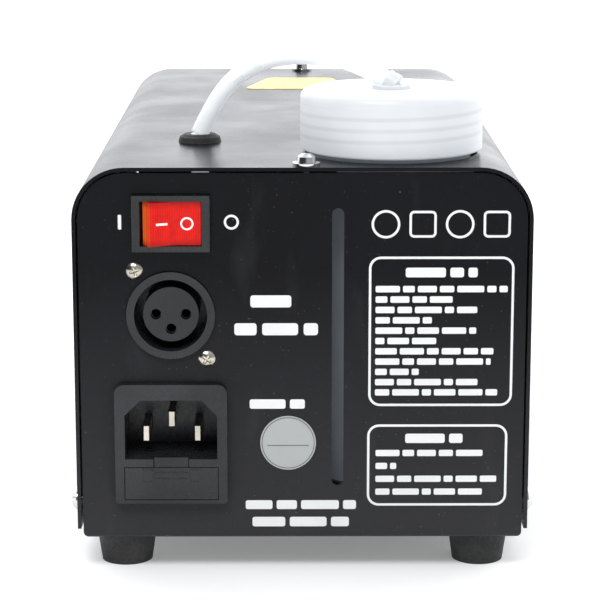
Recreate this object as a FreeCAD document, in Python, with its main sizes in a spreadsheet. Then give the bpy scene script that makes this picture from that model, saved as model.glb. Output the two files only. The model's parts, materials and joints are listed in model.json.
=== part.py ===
"""A small fog machine: folded steel case, tank with a screw cap, solenoid pump and heater.

Millimetres. X runs across the machine, Y from the control panel towards the nozzle, and Z up.
The origin is the centre of the machine's outline, on the surface that its feet stand on.
"""

import FreeCAD, Part
import math
import os
import Sketcher

SIZES = {
    # case
    "case_width": 122, "case_height": 102, "case_length": 238, "sheet": 1.0,
    "cover_corner": 14, "cover_lift": 3, "cover_gap": 0.5, "panel_recess": 0.6,
    "fold_round": 2, "lip_height": 14, "tab_width": 16, "tab_depth": 12,
    "rear_reach": 3.27, "nozzle_reach": 12,
    # feet and fasteners
    "foot_height": 9, "foot_top_r": 8.25, "foot_foot_r": 6.95, "foot_from_side": 12.5,
    "foot_from_end": 12, "foot_recess": 4.5, "foot_recess_r": 4.2,
    "bolt_r": 1.5, "bolt_room": 0.15, "bolt_head_r": 3, "bolt_head": 2, "nut_r": 3.2, "nut_height": 2.4,
    "top_screw_x": 1, "top_screw_in": 4.6, "top_flange_r": 3.65, "top_dome_r": 2.6,
    "side_screw_in": 8, "side_screw_up": 9, "screw_length": 7,
    # rocker switch
    "switch_x": -34.8, "switch_up": 87.2, "bezel_width": 21, "bezel_height": 15, "bezel_proud": 2,
    "rocker_width": 14, "rocker_height": 11.6, "rocker_room": 0.2, "rocker_valley": 4.28,
    "rocker_swing": 22, "rocker_pivot_in": 3, "rocker_axle_r": 0.9, "rocker_fit": 0.06,
    "switch_wall": 0.5, "switch_depth": 14,
    # three-pin socket
    "socket_x": -35.1, "socket_up": 62.3, "socket_ring_r": 11.8, "socket_bore_r": 9.75,
    "socket_insert_r": 7.4, "socket_depth": 24, "socket_floor": 17, "socket_proud": 1,
    "contact_spacing": 4, "contact_hole_r": 1.45, "contact_r": 1.9, "contact_bore_r": 1.25,
    "contact_bore_depth": 12,
    "socket_flange_side": 1.2, "socket_flange_end": 3.7, "socket_flange": 1.6,
    "socket_screw_inset": 2.3, "socket_screw_over": 0.2, "socket_screw_r": 2.25,
    # mains inlet
    "inlet_x": -35.3, "inlet_low": 10.7, "inlet_width": 30.2, "inlet_height": 33, "inlet_proud": 2.5,
    "inlet_wall": 1.6, "inlet_body_depth": 22, "inlet_floor": 15, "cavity_width": 24.8,
    "cavity_low": 23.1, "cavity_top": 39.4, "cavity_chamfer": 4.2,
    "pin_spacing": 14, "pin_up": 29, "earth_up": 33, "pin_width": 2, "pin_height": 4, "pin_recess": 4.9,
    "pin_tail": 30, "drawer_width": 25, "drawer_low": 11.9, "drawer_height": 8.8, "drawer_room": 0.2,
    "drawer_body_width": 22.2, "drawer_body_height": 7.2, "drawer_depth": 14, "drawer_tab": 9.2,
    "fuse_length": 20, "fuse_r": 2.65, "fuse_glass_r": 2.4, "fuse_wall": 0.5, "fuse_cap_depth": 5,
    # level slot, labels
    "slot_x": 9.4, "slot_width": 3.2, "slot_low": 15, "slot_top": 91.1,
    "sticker_x": -3.9, "sticker_up": 27, "sticker_r": 7.5, "label_thickness": 0.15,
    "label_width": 38, "label_top_width": 22, "label_depth": 33, "label_from_front": 30,
    # tank
    "tank_x": 24.5, "tank_in": 30, "tank_r": 23, "tank_wall": 1.4, "tank_hole_room": 0.75,
    "shoulder_up": 98, "shoulder_height": 3.5, "neck_step": 1.4, "neck_top": 117.4,
    "thread_room": 1.8, "cap_low": 104, "cap_height": 15.5, "cap_wall": 1.6, "cap_top": 1.8, "cap_round": 2.5,
    "bush_r": 4, "bush_fit": 0.1, "bush_flange_r": 5.4, "bush_flange": 0.8,
    "boss_r": 3.1, "boss_seat": 1.6, "boss_sunk": 1.6,
    "cradle_wall": 1.6, "cradle_room": 0.3, "cradle_height": 12, "cradle_base": 1.2,
    # hose, grommet and pickup
    "hose_r": 2.5, "hose_bore_r": 1.5, "hose_room": 0.15, "pickup_clear": 9,
    "filter_r": 5, "filter_height": 12,
    "grommet_x": -28.9, "grommet_in": 49.5, "grommet_r": 6.1, "grommet_dome": 2.2,
    "grommet_neck_r": 4, "grommet_tail": 2,
    # pump
    "pump_in": 72, "pump_length": 58, "pump_up": 24, "barrel_r": 5, "barrel_bore_r": 3.6,
    "spigot_r": 3, "spigot_length": 6, "plunger_r": 3.5, "plunger_length": 22, "plunger_in": 14,
    "spring_wire_r": 0.4, "spring_r": 2.7, "spring_pitch": 2.2, "coil_r": 13.6, "coil_length": 34,
    "coil_in": 12, "yoke_half": 16, "yoke_plate": 2, "bracket_width": 20, "bracket_depth": 6,
    # heater
    "heater_in": 156, "heater_from_front": 12, "heater_half": 17, "heater_up": 50, "fog_bore_r": 1.5,
    "wrap": 3, "wrap_set_back": 2, "sleeve": 0.6, "post_r": 3, "post_x": 14, "post_in": 10,
    "nozzle_seat_r": 3.9, "nozzle_seat": 10, "nozzle_hex_r": 7, "nozzle_hex": 6, "nozzle_r": 5,
    "nozzle_mouth_r": 2.4, "nozzle_mouth": 10, "nozzle_throat_r": 0.8, "ring_r": 16, "ring_proud": 2,
    "sensor_r": 6.3, "sensor_height": 6, "sensor_x": 10.3, "sensor_rise": 8,
    # control board
    "board_x": 5, "board_in": 62, "board_width": 47, "board_length": 70, "board_up": 8,
    "board_thickness": 1.6, "board_post_r": 2.5, "board_post_inset": 4,
    "vent_width": 3, "vent_height": 26, "vent_pitch": 7, "vent_count": 8, "vent_from_front": 73,
    "vent_up": 38,
    "pipe_r": 1.5, "pipe_bore_r": 0.9, "wire_r": 1.1,
}

DOC = FreeCAD.newDocument("fog_machine")
SHEET = DOC.addObject("Spreadsheet::Sheet", "Dimensions")
NODES = {}
TURNS = {
    "Z": FreeCAD.Rotation(),
    "X": FreeCAD.Rotation(FreeCAD.Vector(0, 1, 0), 90),
    "-X": FreeCAD.Rotation(FreeCAD.Vector(0, 1, 0), -90),
    "Y": FreeCAD.Rotation(FreeCAD.Vector(1, 0, 0), -90),
    "-Y": FreeCAD.Rotation(FreeCAD.Vector(1, 0, 0), 90),
    "-Z": FreeCAD.Rotation(FreeCAD.Vector(1, 0, 0), 180),
}


class Size:
    """A number together with the spreadsheet formula that gives it."""

    def __init__(self, value, formula):
        self.value = float(value)
        self.formula = formula

    def __add__(self, other):
        return Size(self.value + number(other), f"({self.formula} + {written(other)})")

    def __radd__(self, other):
        return Size(number(other) + self.value, f"({written(other)} + {self.formula})")

    def __sub__(self, other):
        return Size(self.value - number(other), f"({self.formula} - {written(other)})")

    def __rsub__(self, other):
        return Size(number(other) - self.value, f"({written(other)} - {self.formula})")

    def __mul__(self, other):
        return Size(self.value * number(other), f"({self.formula} * {written(other)})")

    def __rmul__(self, other):
        return self * other

    def __truediv__(self, other):
        return Size(self.value / number(other), f"({self.formula} / {written(other)})")

    def __neg__(self):
        return Size(-self.value, f"(0 - {self.formula})")


class Sizes:
    """Every driving dimension, by name."""


def number(size):
    """The value of a size or a plain number."""
    return size.value if isinstance(size, Size) else float(size)


def written(size):
    """The formula of a size or a plain number."""
    return size.formula if isinstance(size, Size) else f"({float(size)!r})"


def fill_sheet():
    """Writes each dimension and its name to the spreadsheet."""
    for row, (name, value) in enumerate(SIZES.items(), 1):
        SHEET.set(f"A{row}", name)
        SHEET.set(f"B{row}", str(value))
        SHEET.setAlias(f"B{row}", name)
    DOC.recompute()
    for name in SIZES:
        setattr(Sizes, name, Size(SHEET.get(name), f"Dimensions.{name}"))


fill_sheet()
S = Sizes

REAR = (S.rear_reach - S.nozzle_reach - S.case_length) / 2
HALF = S.case_width / 2
NECK_R = S.tank_r - S.neck_step
CAP_R = NECK_R + S.thread_room + S.cap_wall
SOCKET_SCREW_X = S.socket_ring_r - S.socket_screw_inset
SOCKET_SCREW_Z = S.socket_ring_r + S.socket_screw_over
HEATER_LENGTH = S.case_length - S.heater_in - S.heater_from_front
PANEL = REAR + S.panel_recess
FRONT = REAR + S.case_length - S.panel_recess
BASE = S.foot_height
FLOOR = S.foot_height + S.sheet
ROOF = S.foot_height + S.case_height
CHASSIS_HALF = HALF - S.sheet - S.cover_gap
CHASSIS_TOP = S.case_height - S.sheet - S.cover_gap


def bind(piece, place, size):
    piece.setExpression(place, written(size))


def put(piece, at, along="Z"):
    """Turns a piece's own Z to a direction and ties its place to the sheet."""
    piece.Placement = FreeCAD.Placement(FreeCAD.Vector(), TURNS[along])
    for axis, size in zip("xyz", at):
        bind(piece, f".Placement.Base.{axis}", size)
    return piece


def node(name, piece):
    """Makes a piece one of the machine's named parts."""
    piece.Label = name
    NODES[name] = piece
    return piece


def box(name, low, size):
    made = DOC.addObject("Part::Box", name)
    for side, length in zip(("Length", "Width", "Height"), size):
        bind(made, side, length)
    return put(made, low)


def span(name, low, high):
    """A box from its low corner to its high corner."""
    return box(name, low, [b - a for a, b in zip(low, high)])


def rod(name, radius, length, at, along="Z"):
    made = DOC.addObject("Part::Cylinder", name)
    bind(made, "Radius", radius)
    bind(made, "Height", length)
    return put(made, at, along)


def cut(name, solid, *tools):
    """The solid without the tools."""
    made = DOC.addObject("Part::Cut", name)
    made.Base = solid
    made.Tool = tools[0] if len(tools) == 1 else fuse(name + "_tools", *tools)
    return made


def common(name, solid, space):
    """What two solids share."""
    shared = DOC.addObject("Part::Common", f"{name}_common")
    shared.Base = solid
    shared.Tool = space
    return shared


def fuse(name, *solids):
    made = DOC.addObject("Part::MultiFuse", name)
    made.Shapes = list(solids)
    return made


def group(name, *solids):
    """Separate solids kept together as one node."""
    made = DOC.addObject("Part::Compound", name)
    made.Links = list(solids)
    return made


def eased(name, solid, radius, wanted, kind="Part::Fillet"):
    """The solid with the edges that wanted picks rounded or chamfered."""
    DOC.recompute()
    edges = [i for i, edge in enumerate(solid.Shape.Edges, 1) if wanted(edge)]
    if not edges:
        raise ValueError(f"{name}: no edge to ease")
    made = DOC.addObject(kind, name)
    made.Base = solid
    made.Edges = [(i, number(radius), number(radius)) for i in edges]
    return made


def straight(axis, **at):
    """Picks straight edges along an axis that lie at the given coordinates."""

    def wanted(edge):
        if not isinstance(edge.Curve, Part.Line):
            return False
        ends = [v.Point for v in edge.Vertexes]
        lie = [abs(getattr(p, k) - number(v)) < 1e-4 for p in ends for k, v in at.items()]
        across = [k for k in "xyz" if k != axis]
        return all(lie) and all(abs(getattr(ends[0], k) - getattr(ends[1], k)) < 1e-6 for k in across)

    return wanted


def either(*tests):
    return lambda edge: any(test(edge) for test in tests)


def circle_at(radius, height):
    """Picks the level circular edges of a radius at a height."""

    def wanted(edge):
        curve = edge.Curve
        round_one = isinstance(curve, Part.Circle) and abs(curve.Radius - number(radius)) < 1e-4
        return round_one and abs(curve.Center.z - number(height)) < 1e-4

    return wanted


def origin_plane(body, role):
    return next(o for o in body.Origin.OriginFeatures if o.Role == role)


def outline(body, name, role, corners):
    """A closed sketch through the corners, each held by two sizes from the sheet."""
    sketch = body.newObject("Sketcher::SketchObject", name)
    sketch.AttachmentSupport = [(origin_plane(body, role), "")]
    sketch.MapMode = "FlatFace"
    spots = [FreeCAD.Vector(number(x), number(y), 0) for x, y in corners]
    for i, spot in enumerate(spots):
        sketch.addGeometry(Part.LineSegment(spot, spots[(i + 1) % len(spots)]), False)
    for i in range(len(spots)):
        sketch.addConstraint(Sketcher.Constraint("Coincident", i, 2, (i + 1) % len(spots), 1))
    for i, (x, y) in enumerate(corners):
        for way, size in (("DistanceX", x), ("DistanceY", y)):
            held = sketch.addConstraint(Sketcher.Constraint(way, -1, 1, i, 1, number(size)))
            if isinstance(size, Size):
                bind(sketch, f"Constraints[{held}]", size)
    return sketch


def turned(name, corners, at, along="Z"):
    """A lathe-turned piece: corners are radius and distance along its axis."""
    body = DOC.addObject("PartDesign::Body", name)
    profile = outline(body, name + "_profile", "XZ_Plane", corners)
    spun = body.newObject("PartDesign::Revolution", name + "_turn")
    spun.Profile = profile
    spun.ReferenceAxis = (profile, ["V_Axis"])
    spun.Angle = 360
    return put(body, at, along)


def extruded(name, corners, height, at, along="Z"):
    """A body pushed out of a flat outline, along its own Z."""
    body = DOC.addObject("PartDesign::Body", name)
    profile = outline(body, name + "_profile", "XY_Plane", corners)
    pushed = body.newObject("PartDesign::Pad", name + "_pad")
    pushed.Profile = profile
    bind(pushed, "Length", height)
    return put(body, at, along)


def vector(point):
    return FreeCAD.Vector(*[number(c) for c in point])


def bent_wire(points, radii):
    """Straight runs joined by tangent arcs, one radius for each inner point."""
    edges, last = [], points[0]
    for before, corner, after, radius in zip(points, points[1:], points[2:], radii):
        inward = (before - corner).normalize()
        outward = (after - corner).normalize()
        half = (math.pi - inward.getAngle(outward)) / 2
        reach = radius * math.tan(half)
        start, end = corner + inward * reach, corner + outward * reach
        middle_way = (inward + outward).normalize()
        middle = corner + middle_way * (radius / math.cos(half) - radius)
        if (start - last).Length > 1e-6:
            edges.append(Part.LineSegment(last, start).toShape())
        edges.append(Part.Arc(start, middle, end).toShape())
        last = end
    edges.append(Part.LineSegment(last, points[-1]).toShape())
    return Part.Wire(edges)


def pipe_solid(wire, radius):
    """A round bar along a wire."""
    first = wire.Edges[0]
    start = first.valueAt(first.FirstParameter)
    disc = Part.Wire([Part.Circle(start, first.tangentAt(first.FirstParameter), radius).toShape()])
    return wire.makePipeShell([disc], True, False)


def tube(name, wire, radius, bore=0.0):
    """A tube or bar along a wire, checked against its section times its length."""
    shape = pipe_solid(wire, radius)
    if bore:
        shape = shape.cut(pipe_solid(wire, bore))
    expected = math.pi * (radius**2 - bore**2) * wire.Length
    print(f"{name}: length {wire.Length:.2f}, volume {shape.Volume:.1f}, expected {expected:.1f}")
    if abs(shape.Volume - expected) > 0.01 * expected:
        raise ValueError(f"{name}: its volume is wrong")
    return shape


def shaped(name, shape, at=FreeCAD.Vector(), along="Z"):
    """A document object that holds a ready shape."""
    made = DOC.addObject("Part::Feature", name)
    made.Shape = shape
    made.Placement = FreeCAD.Placement(at, TURNS[along])
    return made


def each_foot():
    """The name and place of each foot."""
    for end, y in (("rear", REAR + S.foot_from_end), ("front", REAR + S.case_length - S.foot_from_end)):
        for side, sign in (("left", -1), ("right", 1)):
            yield f"{end}_{side}", sign * (HALF - S.foot_from_side), y


def each_side_screw():
    """The place of each side screw's hole in the cover, and which side it is on."""
    for y in (REAR + S.side_screw_in, REAR + S.case_length - S.side_screw_in):
        for sign in (-1, 1):
            yield sign, y, BASE + S.side_screw_up


TOP_SCREWS = (REAR + S.top_screw_in, REAR + S.case_length - S.top_screw_in)


# ---------------------------------------------------------------- case


def make_chassis():
    """The tray: floor, side lips and both end panels, folded from one sheet."""
    half, top = CHASSIS_HALF, BASE + CHASSIS_TOP
    blank = span("chassis_blank", (-half, PANEL, BASE), (half, FRONT, top))
    corners = either(*[straight("y", x=x, z=top) for x in (-half, half)])
    panel_round = S.cover_corner - S.sheet - S.cover_gap
    shouldered = eased("chassis_shoulders", blank, panel_round, corners)
    folds = either(
        *[straight("y", x=x, z=BASE) for x in (-half, half)],
        *[straight("x", y=y, z=BASE) for y in (PANEL, FRONT)],
    )
    bent = eased("chassis_folds", shouldered, S.fold_round, folds)
    over = top + 1
    hollow = span(
        "chassis_hollow", (-half + S.sheet, PANEL + S.sheet, FLOOR), (half - S.sheet, FRONT - S.sheet, over)
    )
    sides = span(
        "chassis_sides", (-half - 1, PANEL + S.sheet, BASE + S.lip_height), (half + 1, FRONT - S.sheet, over)
    )
    tray = cut("chassis_tray", bent, hollow, sides)
    tabs = [
        box(
            f"chassis_tab_{i}",
            (S.top_screw_x - S.tab_width / 2, y, top - S.sheet),
            (S.tab_width, S.tab_depth, S.sheet),
        )
        for i, y in enumerate((PANEL + S.sheet / 2, FRONT - S.sheet / 2 - S.tab_depth))
    ]
    tabbed = fuse("chassis_tabbed", tray, *tabs)
    node("chassis", cut("chassis", tabbed, *panel_openings(), *chassis_holes()))


def panel_openings():
    """What is cut out of the control panel and the nozzle panel."""
    through, reach = PANEL - 1, S.sheet + 2
    room = S.bolt_room
    depth = S.bezel_height - 2 + 2 * room
    yield box(
        "switch_opening",
        (S.switch_x - S.bezel_width / 2 + 1 - room, through, BASE + S.switch_up - depth / 2),
        (S.bezel_width - 2 + 2 * room, reach, depth),
    )
    yield rod(
        "socket_opening",
        S.socket_ring_r + room,
        reach,
        (S.socket_x, through, BASE + S.socket_up),
        "Y",
    )
    for sign in (-1, 1):
        yield rod(
            f"socket_screw_hole_{sign + 1}",
            S.bolt_r,
            reach,
            (
                S.socket_x + sign * SOCKET_SCREW_X,
                through,
                BASE + S.socket_up - sign * SOCKET_SCREW_Z,
            ),
            "Y",
        )
    yield box(
        "inlet_opening",
        (
            S.inlet_x - S.inlet_width / 2 + S.inlet_wall - room,
            through,
            BASE + S.inlet_low + S.inlet_wall / 2 - room,
        ),
        (
            S.inlet_width - 2 * S.inlet_wall + 2 * room,
            reach,
            S.inlet_height - 2 * S.inlet_wall + S.inlet_wall + 2 * room,
        ),
    )
    yield box(
        "slot_middle",
        (S.slot_x - S.slot_width / 2, through, BASE + S.slot_low + S.slot_width / 2),
        (S.slot_width, reach, S.slot_top - S.slot_low - S.slot_width),
    )
    for i, up in enumerate((S.slot_low + S.slot_width / 2, S.slot_top - S.slot_width / 2)):
        yield rod(f"slot_end_{i}", S.slot_width / 2, reach, (S.slot_x, through, BASE + up), "Y")
    yield rod(
        "nozzle_opening",
        S.nozzle_hex_r + 1,
        reach,
        (0, FRONT - S.sheet - 1, BASE + S.heater_up),
        "Y",
    )


def chassis_holes():
    """The bolt holes in the floor, tabs and lips."""
    radius = S.bolt_r + S.bolt_room
    for name, x, y in each_foot():
        yield rod(f"chassis_hole_{name}", radius, S.sheet + 2, (x, y, BASE - 1))
    for i, y in enumerate(TOP_SCREWS):
        yield rod(f"chassis_tab_hole_{i}", radius, 4, (S.top_screw_x, y, BASE + CHASSIS_TOP - 3))
    for i, (sign, y, z) in enumerate(each_side_screw()):
        yield rod(f"chassis_lip_hole_{i}", radius, 4, (sign * (CHASSIS_HALF - 0.5) - 2, y, z), "X")


def make_cover():
    """The folded cover: roof and both sides in one sheet."""
    low = BASE + S.cover_lift
    blank = span("cover_blank", (-HALF, REAR, low), (HALF, REAR + S.case_length, ROOF))
    outside = either(*[straight("y", x=x, z=ROOF) for x in (-HALF, HALF)])
    shell = eased("cover_outside", blank, S.cover_corner, outside)
    half, roof = HALF - S.sheet, ROOF - S.sheet
    space = span("cover_space", (-half, REAR - 1, low - 1), (half, REAR + S.case_length + 1, roof))
    inside = either(*[straight("y", x=x, z=roof) for x in (-half, half)])
    core = eased("cover_inside", space, S.cover_corner - S.sheet, inside)
    node("cover", cut("cover", shell, core, *cover_openings()))


def cover_openings():
    """The tank hole, the grommet hole, the screw holes and the side vents."""
    above, reach = roof_hole_start(), S.sheet + 2
    yield rod(
        "tank_hole", S.tank_r + S.tank_hole_room, reach, (S.tank_x, REAR + S.tank_in, above)
    )
    yield rod(
        "grommet_hole", S.grommet_neck_r + 0.1, reach, (S.grommet_x, REAR + S.grommet_in, above)
    )
    radius = S.bolt_r + S.bolt_room
    for i, y in enumerate(TOP_SCREWS):
        yield rod(f"cover_top_hole_{i}", radius, reach, (S.top_screw_x, y, above))
    for i, (sign, y, z) in enumerate(each_side_screw()):
        yield rod(f"cover_side_hole_{i}", radius, 4, (sign * HALF - 2, y, z), "X")
    for i in range(SIZES["vent_count"]):
        yield box(
            f"vent_{i}",
            (-HALF - 1, REAR + S.case_length - S.vent_from_front + i * S.vent_pitch, BASE + S.vent_up),
            (S.case_width + 2, S.vent_width, S.vent_height),
        )


def roof_hole_start():
    return ROOF - S.sheet - 1


def make_feet():
    """Four tapered rubber feet, each with its own screw and nut."""
    top, low = S.foot_height, S.foot_recess
    hole = S.bolt_r + S.bolt_room
    screws, nuts = [], []
    for name, x, y in each_foot():
        corners = [
            (hole, top),
            (S.foot_top_r, top),
            (S.foot_foot_r, 0),
            (S.foot_recess_r, 0),
            (S.foot_recess_r, low),
            (hole, low),
        ]
        node(f"foot_{name}", turned(f"foot_{name}", corners, (x, y, 0)))
        tip = FLOOR + S.nut_height + 1
        shank = [
            (0, low - S.bolt_head),
            (S.bolt_head_r, low - S.bolt_head),
            (S.bolt_head_r, low),
            (S.bolt_r, low),
            (S.bolt_r, tip),
            (0, tip),
        ]
        screws.append(turned(f"foot_screw_{name}", shank, (x, y, 0)))
        nuts.append(hex_nut(f"foot_nut_{name}", (x, y, FLOOR)))
    node("foot_screws", group("foot_screws", *screws))
    node("foot_nuts", group("foot_nuts", *nuts))


def hex_nut(name, at):
    """A six-sided nut on its bolt, with its thread left plain."""
    blank = DOC.addObject("Part::Prism", name + "_blank")
    blank.Polygon = 6
    bind(blank, "Circumradius", S.nut_r)
    bind(blank, "Height", S.nut_height)
    put(blank, at)
    return cut(name, blank, rod(name + "_hole", S.bolt_r + 0.02, S.nut_height + 2, (at[0], at[1], at[2] - 1)))


def pan_screw(name, head_r, head, shank_r, length, at, along):
    """A screw whose seat is at its place and whose shank runs along its direction."""
    corners = [
        (0, -head),
        (head_r * 0.6, -head),
        (head_r, -head * 0.45),
        (head_r, 0),
        (shank_r, 0),
        (shank_r, length),
        (0, length),
    ]
    return turned(name, corners, at, along)


def make_cover_screws():
    """Domed flange screws in the roof and pan heads low on the sides."""
    top = []
    for i, y in enumerate(TOP_SCREWS):
        corners = [
            (0, -3.2),
            (S.top_dome_r * 0.55, -3.0),
            (S.top_dome_r * 0.9, -2.3),
            (S.top_dome_r, -0.8),
            (S.top_flange_r, -0.7),
            (S.top_flange_r, 0),
            (S.bolt_r, 0),
            (S.bolt_r, S.screw_length),
            (0, S.screw_length),
        ]
        top.append(turned(f"top_screw_{i}", corners, (S.top_screw_x, y, ROOF), "-Z"))
    node("cover_top_screws", group("cover_top_screws", *top))
    side = [
        pan_screw(
            f"side_screw_{i}", S.bolt_head_r, S.bolt_head, S.bolt_r, S.screw_length,
            (sign * HALF, y, z), "X" if sign < 0 else "-X",
        )
        for i, (sign, y, z) in enumerate(each_side_screw())
    ]
    node("cover_side_screws", group("cover_side_screws", *side))


# ---------------------------------------------------------------- rocker switch


def make_switch():
    """The switch housing, its rocker on an upright axle, and its terminals."""
    x, z = S.switch_x, BASE + S.switch_up
    bezel = box(
        "switch_bezel",
        (x - S.bezel_width / 2, PANEL - S.bezel_proud, z - S.bezel_height / 2),
        (S.bezel_width, S.bezel_proud, S.bezel_height),
    )
    front = PANEL - S.bezel_proud
    uprights = [
        straight("z", x=x + side * S.bezel_width / 2, y=front) for side in (-1, 1)
    ]
    soft_bezel = eased("switch_bezel_soft", bezel, 0.9, either(*uprights))
    body = box(
        "switch_body",
        (x - S.bezel_width / 2 + 1, PANEL, z - S.bezel_height / 2 + 1),
        (S.bezel_width - 2, S.switch_depth, S.bezel_height - 2),
    )
    opening_height = S.rocker_height + 2 * S.rocker_room
    opening_width = S.rocker_width + 2.4
    opening = box(
        "switch_cavity",
        (x - opening_width / 2, PANEL - S.bezel_proud - 1, z - opening_height / 2),
        (opening_width, S.bezel_proud + 1 + S.rocker_pivot_in + 6, opening_height),
    )
    pivot = PANEL + S.rocker_pivot_in
    axle_hole = rod(
        "switch_axle_hole",
        S.rocker_axle_r + S.rocker_fit,
        S.bezel_height - 2 + 0.4,
        (x, pivot, z - S.bezel_height / 2 + 0.8),
    )
    solid = fuse("switch_solid", soft_bezel, body)
    node("switch_housing", cut("switch_housing", solid, opening, axle_hole))
    make_rocker(x, pivot, z)
    tabs = [
        box(f"switch_tab_{i}", (x + i * 6 - 0.4, PANEL + S.switch_depth, z - 2.4), (0.8, 8, 4.8))
        for i in (-1, 0, 1)
    ]
    node("switch_terminals", group("switch_terminals", *tabs))


def make_rocker(x, pivot, z):
    """The rocker, drawn level and turned half its swing to lie in its off position."""
    half = S.rocker_width / 2
    rise = number(half) * math.tan(math.radians(number(S.rocker_swing) / 2))
    end = S.rocker_valley + rise
    corners = [
        (0, -S.rocker_valley),
        (half, -end),
        (half + 0.8, -1.5),
        (half, 2),
        (1.5, 4.5),
        (-1.5, 4.5),
        (-half, 2),
        (-half - 0.8, -1.5),
        (-half, -end),
    ]
    body = extruded(
        "rocker_block", corners, S.rocker_height, (x, pivot, z - S.rocker_height / 2)
    )
    tilt = FreeCAD.Rotation(FreeCAD.Vector(0, 0, 1), number(S.rocker_swing) / 2)
    body.Placement = FreeCAD.Placement(body.Placement.Base, tilt)
    axle = rod(
        "rocker_axle", S.rocker_axle_r, S.bezel_height - 2, (x, pivot, z - S.bezel_height / 2 + 1)
    )
    node("switch_rocker", fuse("switch_rocker", body, axle))


# ---------------------------------------------------------------- three-pin socket


def contact_places():
    """The three contacts, as places across and up from the socket's centre."""
    step = S.contact_spacing
    return ((-step, 0), (step, 0), (0, -step))


def segment_space(index, x, z, first, last):
    """The space of one insert segment, between two angles in degrees about the socket's axis."""
    reach = 2 * number(S.socket_insert_r)
    half = math.radians((last - first) / 2)
    middle = math.radians((first + last) / 2)
    rim = reach / math.cos(half / 2)
    ways = (middle - half, middle - half / 2, middle, middle + half / 2, middle + half)
    corners = [(0, 0)] + [(rim * math.cos(way), -rim * math.sin(way)) for way in ways]
    at = (x, PANEL, z)
    return extruded(f"segment_space_{index}", corners, S.socket_depth, at, "Y")


def make_socket():
    """The three-pin socket behind the panel, with its insert, contacts and screws."""
    x, z = S.socket_x, BASE + S.socket_up
    front = PANEL - S.socket_proud
    barrel = rod("socket_barrel", S.socket_ring_r, S.socket_depth + S.socket_proud, (x, front, z), "Y")
    across, upward = S.socket_ring_r + S.socket_flange_side, S.socket_ring_r + S.socket_flange_end
    flange = box(
        "socket_flange",
        (x - across, PANEL + S.sheet, z - upward),
        (2 * across, S.socket_flange, 2 * upward),
    )
    bore = rod("socket_bore", S.socket_bore_r, S.socket_floor + 2, (x, front - 1, z), "Y")
    tools = [bore]
    insert_holes, contacts = [], []
    floor = front + S.socket_floor + 1
    mouth = PANEL + 3
    for i, (aside, up) in enumerate(contact_places()):
        at = (x + aside, floor - 1, z + up)
        tools.append(rod(f"socket_contact_way_{i}", S.contact_r + 0.05, S.socket_depth, at, "Y"))
        hole_at = (x + aside, front - 1, z + up)
        insert_holes.append(rod(f"insert_hole_{i}", S.contact_hole_r, 10, hole_at, "Y"))
        pocket_at = (x + aside, mouth, z + up)
        insert_holes.append(rod(f"insert_pocket_{i}", S.contact_r + 0.05, S.socket_floor, pocket_at, "Y"))
        end = PANEL + S.socket_depth
        length = end - mouth
        corners = [
            (S.contact_bore_r, 0),
            (S.contact_r, 0),
            (S.contact_r, length),
            (0.8, length),
            (0.8, length + 6),
            (0, length + 6),
            (0, S.contact_bore_depth),
            (S.contact_bore_r, S.contact_bore_depth),
        ]
        contacts.append(turned(f"socket_contact_{i}", corners, pocket_at, "Y"))
    for sign in (-1, 1):
        at = (x + sign * SOCKET_SCREW_X, PANEL, z - sign * SOCKET_SCREW_Z)
        tools.append(rod(f"socket_flange_hole_{sign + 1}", 1.25, 6, at, "Y"))
    solid = fuse("socket_solid", barrel, flange)
    node("remote_socket_shell", cut("remote_socket_shell", solid, *tools))
    plug = rod("insert_plug", S.socket_insert_r, floor - PANEL - 1, (x, PANEL + 1, z), "Y")
    bored = cut("insert_bored", plug, *insert_holes)
    segments = [
        common(f"insert_segment_{i}", bored, segment_space(i, x, z, first, last))
        for i, (first, last) in enumerate(((90, 225), (-45, 90), (225, 315)))
    ]
    node("remote_socket_insert", group("remote_socket_insert", *segments))
    node("remote_socket_contacts", group("remote_socket_contacts", *contacts))
    screws = [
        pan_screw(
            f"socket_screw_{sign + 1}", S.socket_screw_r, 0.9, 1.2, 5,
            (x + sign * SOCKET_SCREW_X, PANEL, z - sign * SOCKET_SCREW_Z), "Y",
        )
        for sign in (-1, 1)
    ]
    node("remote_socket_screws", group("remote_socket_screws", *screws))


# ---------------------------------------------------------------- mains inlet


def pin_places():
    """The line, neutral and earth pins, as places across and up from the chassis."""
    half = S.pin_spacing / 2
    return ((-half, S.pin_up), (half, S.pin_up), (0, S.earth_up))


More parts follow.
